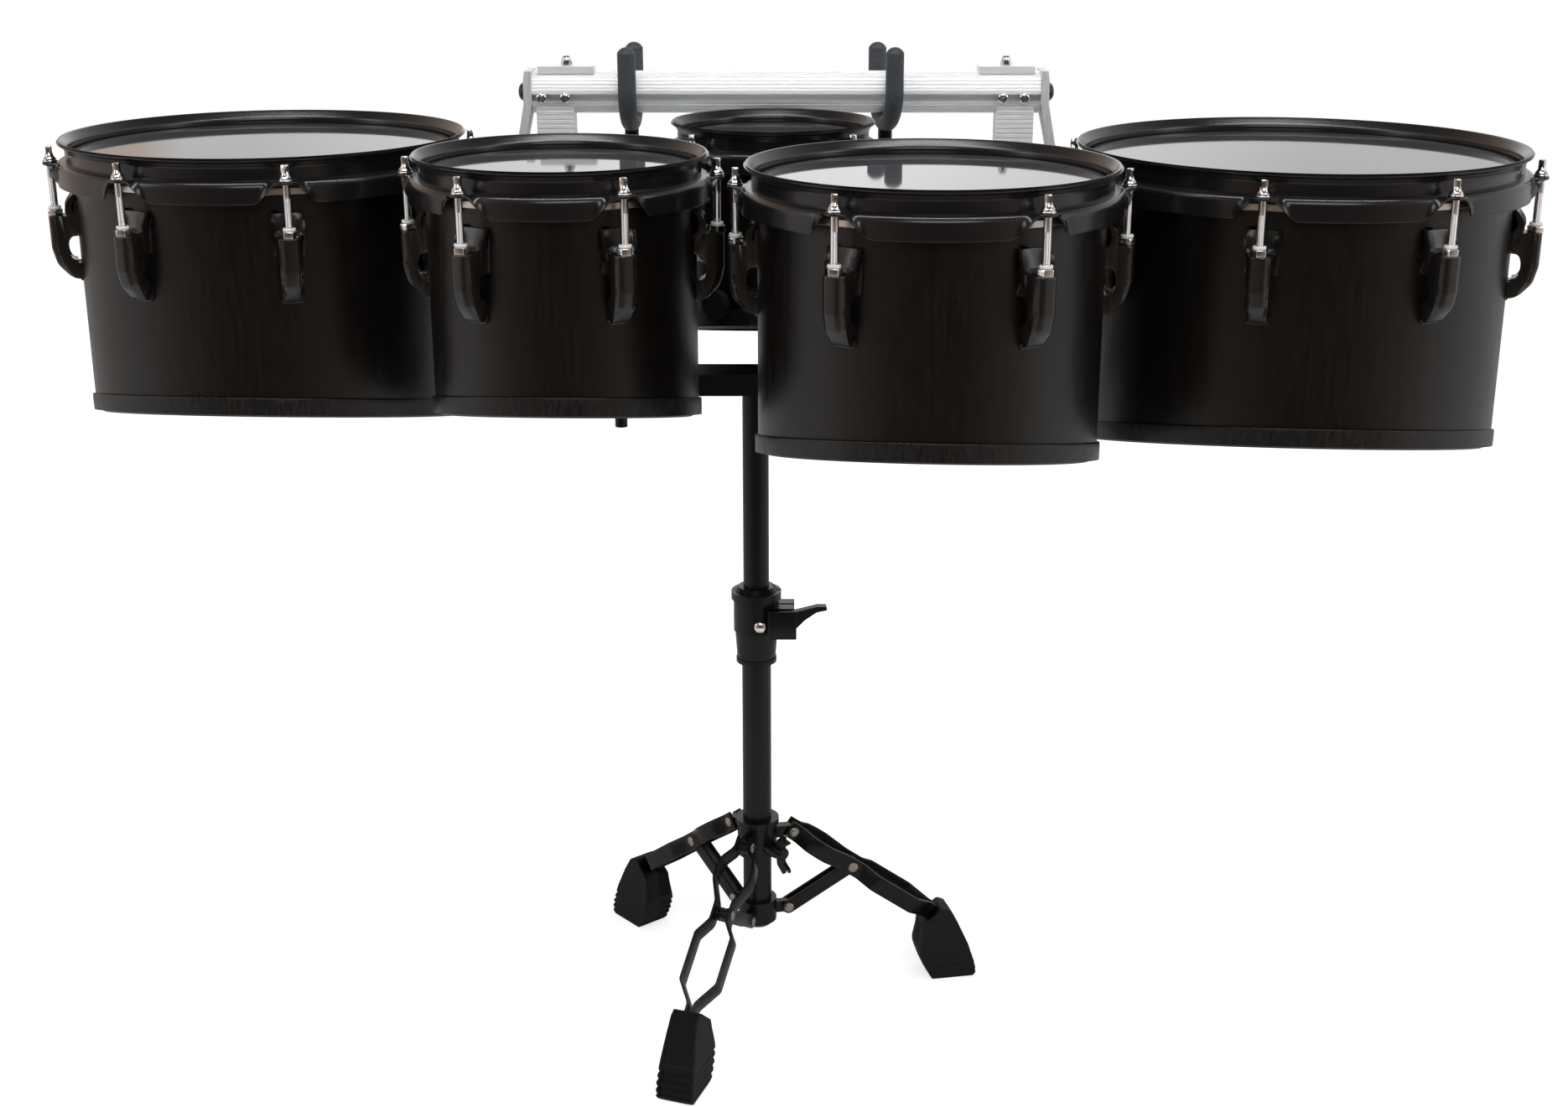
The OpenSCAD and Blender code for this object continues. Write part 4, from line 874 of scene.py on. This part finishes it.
for name in LEGS:
    part = bmesh.new()
    outline = rounded(BOOT_SIDE, 5, 2.05)
    extrude_outline(part, [(p.x * MM, -1.0, p.y * MM) for p in outline], (0, 2, 0), BOOT_SLICES)
    caps = [f for f in part.faces if len(f.verts) > 20]
    bmesh.ops.poke(part, faces=caps)
    for level in range(2, 32):
        bmesh.ops.bisect_plane(part, geom=list(part.verts) + list(part.edges) + list(part.faces),
                               plane_co=(0, 0, level * MM), plane_no=(0, 0, 1))
    for vert in part.verts:
        z = vert.co.z / MM
        side = vert.co.y
        groove = 0.0
        if 3.5 < z < 26:
            groove = 0.9 * max(math.cos((z - 5.8) / 6.2 * 2 * math.pi), 0) ** 0.6
        shrink = 1 - groove / 26
        x = BOOT_MIDDLE + (vert.co.x / MM - BOOT_MIDDLE) * shrink * (1 - 0.03 * abs(side) ** 6)
        y = side * (boot_half_width(z) - groove)
        vert.co = Vector((x, y, z)) * MM
    bmesh.ops.translate(part, verts=part.verts, vec=(FOOT_OUT * MM, 0, 0))
    bm = bmesh.new()
    add_part(bm, part, leg_place(name))
    hand_over(bm, f"rubber_boot_{name}", f"leg_{name}_set", RUBBER, [f"foot_{name}"], crisp=55)

# %% [markdown]
# The rail is an extruded aluminium section: fine ribs run along it, and a slot for sliding nuts
# opens toward the audience. The section is drawn as one outline in polar steps, with the slot's
# corners put in between, and extruded along X in one go.

# %% Rail section
rail_low, rail_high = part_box("rail")
RAIL_AXIS = Vector([(low + high) / 2 for low, high in zip(rail_low, rail_high)])
RAIL_R = (rail_high.z - rail_low.z) / 2 / MM
RAIL_HALF = (rail_high.x - rail_low.x) / 2
SLOT_TURN = math.radians(-12)
RIB_PITCH = 10.5     # degrees
RIB_DEEP = 0.55


def rail_outline():
    outline = []
    for k in range(341):
        angle = RIB_PITCH + k
        place = (angle % RIB_PITCH) / RIB_PITCH
        ribbed = 22 < angle < 158 or 205 < angle < 345
        groove = RIB_DEEP * max(0.0, math.cos((place - 0.5) * 2 * math.pi)) ** 3 if ribbed else 0.0
        radius = RAIL_R - groove
        outline.append((radius * math.cos(math.radians(angle)), radius * math.sin(math.radians(angle))))
    outline += [(RAIL_R - 1.6, -3.4), (RAIL_R - 4.4, -3.4), (RAIL_R - 4.4, -6.4), (RAIL_R - 9.5, -6.4),
                (RAIL_R - 9.5, 6.4), (RAIL_R - 4.4, 6.4), (RAIL_R - 4.4, 3.4), (RAIL_R - 1.6, 3.4)]
    turned = Matrix.Rotation(SLOT_TURN, 2)
    return [turned @ Vector(point) for point in outline]


bm = bmesh.new()
start_face = [(-RAIL_HALF, -p.x * MM, p.y * MM) for p in rail_outline()]
extrude_outline(bm, start_face, (2 * RAIL_HALF, 0, 0))
bmesh.ops.translate(bm, verts=bm.verts, vec=RAIL_AXIS)
hand_over(bm, "ribbed_rail", "drum_set", RAIL, ["rail"], crisp=24)

# %% [markdown]
# Four button-head screws sit in the slot. A head is a dome spun round its axis with a hexagon
# socket: the ring that closes the dome's mouth has six sides and goes straight down.

# %% Button-head screws
riser_low, riser_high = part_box("riser_blocks")
SCREW_X = [riser_low.x / MM + 5.0, riser_low.x / MM + 26.0, riser_high.x / MM - 28.0, riser_high.x / MM - 9.0]
SCREW_DEPTH = 0.9    # the screws sit this far below the rail's outer surface


def button_screw():
    part = bmesh.new()
    dome = [(1.9, 1.3), (1.9, 3.3), (2.6, 3.5), (3.6, 3.2), (4.6, 2.4), (5.1, 1.4), (5.25, 0.3),
            (5.25, 0.0), (0, 0)]
    add_spun(part, [(0, 1.3 * MM)] + [(x * MM, z * MM) for x, z in dome], 24)
    for vert in part.verts:
        out = math.hypot(vert.co.x, vert.co.y)
        if 1.5 * MM < out < 2.3 * MM and vert.co.z > 1.0 * MM:
            angle = math.atan2(vert.co.y, vert.co.x)
            flat = math.cos(math.pi / 6) / math.cos((angle % (math.pi / 3)) - math.pi / 6)
            vert.co.x *= flat
            vert.co.y *= flat
    return part


bm = bmesh.new()
screw = button_screw()
for x in SCREW_X:
    facing = Matrix.Rotation(-SLOT_TURN, 4, "X") @ Matrix.Translation((0, -(RAIL_R - SCREW_DEPTH) * MM, 0))
    place = (Matrix.Translation((x * MM, RAIL_AXIS.y, RAIL_AXIS.z)) @ facing
             @ Matrix.Rotation(math.radians(90), 4, "X"))
    add_part(bm, screw, place, keep=True)
screw.free()
hand_over(bm, "button_screws", "drum_set", CHROME, ["rail_screws"], crisp=40)

# %% [markdown]
# The riser blocks are sawn from a ribbed profile as well: a front outline with a row of small
# grooves on both sides is extruded across the block.

# %% Riser blocks
RISER_W = 33 * MM
RISER_RIB = 4.1
CRADLE = 13          # the cradle's shoulders lie this far below the rail's axis
CRADLE_GAP = 0.1


def riser_outline():
    half = (riser_high.y - riser_low.y) / 2 / MM
    tall = (RAIL_AXIS.z - riser_low.z) / MM - CRADLE
    side = []
    z = 1.0
    while z < tall - 3:
        side += [(half, z), (half, z + 2.6), (half - 0.9, z + 3.0), (half - 0.9, z + 3.7)]
        z += RISER_RIB
    top = [(half, tall), (half - 1.5, tall + 1.2)]
    round_r = RAIL_R + CRADLE_GAP
    cradle = [(round_r * math.sin(a), tall + CRADLE - round_r * math.cos(a))
              for a in (math.radians(d) for d in range(40, -41, -8))]
    right = side + top
    return [(half - 1, 0)] + right + cradle + [(-x, z) for x, z in reversed(right)] + [(1 - half, 0)]


bm = bmesh.new()
for start in (riser_low.x, riser_high.x - RISER_W):
    side_face = [(start, RAIL_AXIS.y + y * MM, riser_low.z + z * MM) for y, z in riser_outline()]
    extrude_outline(bm, side_face, (RISER_W, 0, 0))
hand_over(bm, "ribbed_risers", "drum_set", RAIL, ["riser_blocks"], crisp=24)

# %% [markdown]
# Wing bolts are zinc castings under black coat: a tapered hub and two ears like a rabbit's. The
# outline of the wings is one rounded shape, thick at the hub and thin at the tips.

# %% Wing bolts
WINGS = [(-5.5, 3.0, 1.5), (-12.0, 3.2, 3.0), (-18.6, 10.5, 3.4), (-19.0, 18.9, 3.2), (-12.5, 18.4, 3.0),
         (-7.6, 11.4, 4.0), (0, 9.0, 5.0), (7.6, 11.4, 4.0), (12.5, 18.4, 3.0), (19.0, 18.9, 3.2),
         (18.6, 10.5, 3.4), (12.0, 3.2, 3.0), (5.5, 3.0, 1.5)]
WING_SPAN = 38      # span of that outline, and of the collar's bolt
HOOK_SPAN = 46
WING_THICK = 4.8
COLLAR_STEM = 13.2
HOOK_STEM = 13.5


def wing_bolt(span, stem):
    part = bmesh.new()
    outline = [Vector((p.x * span / WING_SPAN, p.y)) for p in rounded(WINGS, 5, 2.5)]
    front = [(p.x * MM, -WING_THICK / 2 * MM, p.y * MM) for p in outline]
    extrude_outline(part, front, (0, WING_THICK * MM, 0))
    soften(part, sharp_edges(part, 1.2), 1.1, segments=3, clamp=True)
    for vert in part.verts:
        vert.co.y *= 1 - 0.35 * min(abs(vert.co.x) / MM / (span / 2), 1)
    hub = [(0, -stem), (3.7, -stem), (3.7, 0), (6.9, 0), (7.0, 1.0), (6.2, 7.0), (5.4, 11.2),
           (4.4, 12.0), (0, 12.0)]
    add_spun(part, [(x * MM, z * MM) for x, z in hub], 28)
    return part


WING_HEADING = math.radians(-50)
COLLAR_SEAT = (26.4, 0, 149)   # hub of the collar's bolt: outward from the pole, and height
HOOK_REACH = 19                # from the hub of a hook's bolt to its tip
bm = bmesh.new()
place = (Matrix.Translation(POLE) @ Matrix.Rotation(WING_HEADING, 4, "Z") @ at_mm(*COLLAR_SEAT)
         @ Matrix.Rotation(math.radians(90), 4, "Y"))
add_part(bm, wing_bolt(WING_SPAN, COLLAR_STEM), place)
hand_over(bm, "collar_wing", "collar_wing", STAND, ["collar_wing_bolt"], crisp=36)
bm = bmesh.new()
hook_low, hook_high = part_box("hook_wing_bolts")
for side, tip in ((-1, hook_low.x), (1, hook_high.x)):
    place = (Matrix.Translation((tip - side * HOOK_REACH * MM, POLE.y, (hook_low.z + hook_high.z) / 2))
             @ Matrix.Rotation(math.radians(90 * side), 4, "Y"))
    add_part(bm, wing_bolt(HOOK_SPAN, HOOK_STEM), place)
hand_over(bm, "hook_wings", "mast", STAND, ["hook_wing_bolts"], crisp=36)

# %% [markdown]
# The height clamp's ears are closed at the front by a flat cheek, which hides the lever's pivot.

# %% Clamp cheek
CHEEK_SIZE = Vector((24.6, 2.4, 25.5))
CHEEK_CENTRE = Vector((22.4, -22.5, 363.2))   # from the foot of the pole's axis
bm = bmesh.new()
bmesh.ops.create_cube(bm, size=1)
bmesh.ops.scale(bm, vec=CHEEK_SIZE * MM, verts=bm.verts)
soften(bm, bm.edges[:], 0.8, segments=3)
bmesh.ops.translate(bm, verts=bm.verts, vec=POLE + CHEEK_CENTRE * MM)
hand_over(bm, "clamp_cheek", "stand_base", STAND, crisp=30)

# %% [markdown]
# The studio: a pale floor and a world that the camera sees as white. Glossy rays see that white
# too, but only level with the object; overhead and behind the camera the room is dim, as a real
# studio is, so that satin black stays black. A tan card stands behind on the left, and the paper is
# brightest straight behind the drums. Softboxes draw the highlights.


# %% World
WALL_AHEAD = 0.03    # glossy level of the dim room behind the camera
WALL_BEHIND = 0.94   # and of the paper straight behind the drums


def studio_world():
    world = bpy.data.worlds.new("studio")
    bpy.context.scene.world = world
    world.use_nodes = True
    tree = world.node_tree
    links = tree.links
    seen = tree.nodes["Background"]
    seen.inputs["Color"].default_value = (1, 1, 1, 1)
    seen.inputs["Strength"].default_value = 1.0
    fill = add_node(tree, "ShaderNodeBackground")
    fill.inputs["Color"].default_value = (1.0, 0.99, 0.98, 1)
    fill.inputs["Strength"].default_value = 0.45
    mirror = add_node(tree, "ShaderNodeBackground")
    coords = add_node(tree, "ShaderNodeTexCoord")
    split = add_node(tree, "ShaderNodeSeparateXYZ")
    links.new(coords.outputs["Generated"], split.inputs[0])
    ahead = remap(tree, split.outputs[1], -1.0, 0.0, 0.0, 1.0)
    aside = arithmetic(tree, "POWER", ahead, 0.85)
    beyond = remap(tree, split.outputs[1], 0.0, 1.0, 1.0, WALL_BEHIND)
    level = remap(tree, split.outputs[2], 0.80, 0.40, 0.15, 1.0)
    sideways = arithmetic(tree, "ABSOLUTE", split.outputs[0], 0.0)
    middle = remap(tree, sideways, 0.04, 0.24, 1.5, 0.85)
    around = arithmetic(tree, "MULTIPLY", arithmetic(tree, "MULTIPLY", aside, beyond), level)
    around = arithmetic(tree, "MULTIPLY", around, middle)
    links.new(arithmetic(tree, "ADD", around, WALL_AHEAD), mirror.inputs["Strength"])
    paper = mix_colour(tree, ahead, add_colour(tree, (1.0, 0.74, 0.56)), (1.0, 1.0, 1.0))
    left = arithmetic(tree, "MULTIPLY", remap(tree, split.outputs[0], -0.27, -0.29, 0.0, 1.0),
                      remap(tree, split.outputs[1], 0.0, 0.2, 0.0, 1.0))
    links.new(mix_colour(tree, left, paper, (0.84, 0.68, 0.58)), mirror.inputs["Color"])
    path = add_node(tree, "ShaderNodeLightPath")
    shiny = arithmetic(tree, "MAXIMUM", path.outputs["Is Glossy Ray"], path.outputs["Is Transmission Ray"])
    first = add_node(tree, "ShaderNodeMixShader")
    links.new(shiny, first.inputs[0])
    links.new(fill.outputs[0], first.inputs[1])
    links.new(mirror.outputs[0], first.inputs[2])
    second = add_node(tree, "ShaderNodeMixShader")
    links.new(path.outputs["Is Camera Ray"], second.inputs[0])
    links.new(first.outputs[0], second.inputs[1])
    links.new(seen.outputs[0], second.inputs[2])
    links.new(second.outputs[0], tree.nodes["World Output"].inputs[0])


studio_world()
bpy.context.scene.view_settings.view_transform = "Standard"


# %% Floor
def floor_finish():
    material, tree, shader = new_material("pale_floor")
    shader.inputs["Base Color"].default_value = (0.86, 0.86, 0.86, 1)
    shader.inputs["Roughness"].default_value = 0.8
    shader.inputs["Specular IOR Level"].default_value = 0.1
    glow = add_node(tree, "ShaderNodeEmission")
    path = add_node(tree, "ShaderNodeLightPath")
    tree.links.new(arithmetic(tree, "MULTIPLY", path.outputs["Is Camera Ray"], 0.64), glow.inputs[1])
    total = add_node(tree, "ShaderNodeAddShader")
    tree.links.new(shader.outputs[0], total.inputs[0])
    tree.links.new(glow.outputs[0], total.inputs[1])
    tree.links.new(total.outputs[0], tree.nodes["Material Output"].inputs[0])
    return material


FLOOR_FRONT = -0.75   # the paper ends here, outside the view
bm = bmesh.new()
bmesh.ops.create_grid(bm, x_segments=1, y_segments=1, size=4)
bmesh.ops.translate(bm, verts=bm.verts, vec=(0, 4 + FLOOR_FRONT, 0))
floor_mesh = bpy.data.meshes.new("floor")
bm.to_mesh(floor_mesh)
bm.free()
floor = bpy.data.objects.new("floor", floor_mesh)
floor.location.z = -0.0005
floor_mesh.materials.append(floor_finish())
bpy.context.scene.collection.objects.link(floor)
floor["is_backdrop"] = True


# %% Softboxes
def softbox(title, place, aim, size, power):
    lamp = bpy.data.lights.new(title, "AREA")
    lamp.shape = "RECTANGLE"
    lamp.size, lamp.size_y = size
    lamp.energy = power
    holder = bpy.data.objects.new(title, lamp)
    holder.location = place
    holder.rotation_euler = (Vector(aim) - Vector(place)).to_track_quat("-Z", "Y").to_euler()
    bpy.context.scene.collection.objects.link(holder)


softbox("overhead", (0.0, -0.55, 2.6), (0, -0.15, 0.7), (2.8, 0.14), 26)
softbox("front_fill", (0.3, -3.2, 2.6), (0, 0, 0.7), (2.4, 1.2), 34)
softbox("left_strip", (-2.6, -1.1, 1.7), (0, -0.1, 0.7), (0.7, 1.8), 9)
softbox("right_strip", (2.6, -1.0, 1.7), (0, -0.1, 0.7), (0.8, 1.8), 10)

# %% Measure the sizes
low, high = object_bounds()
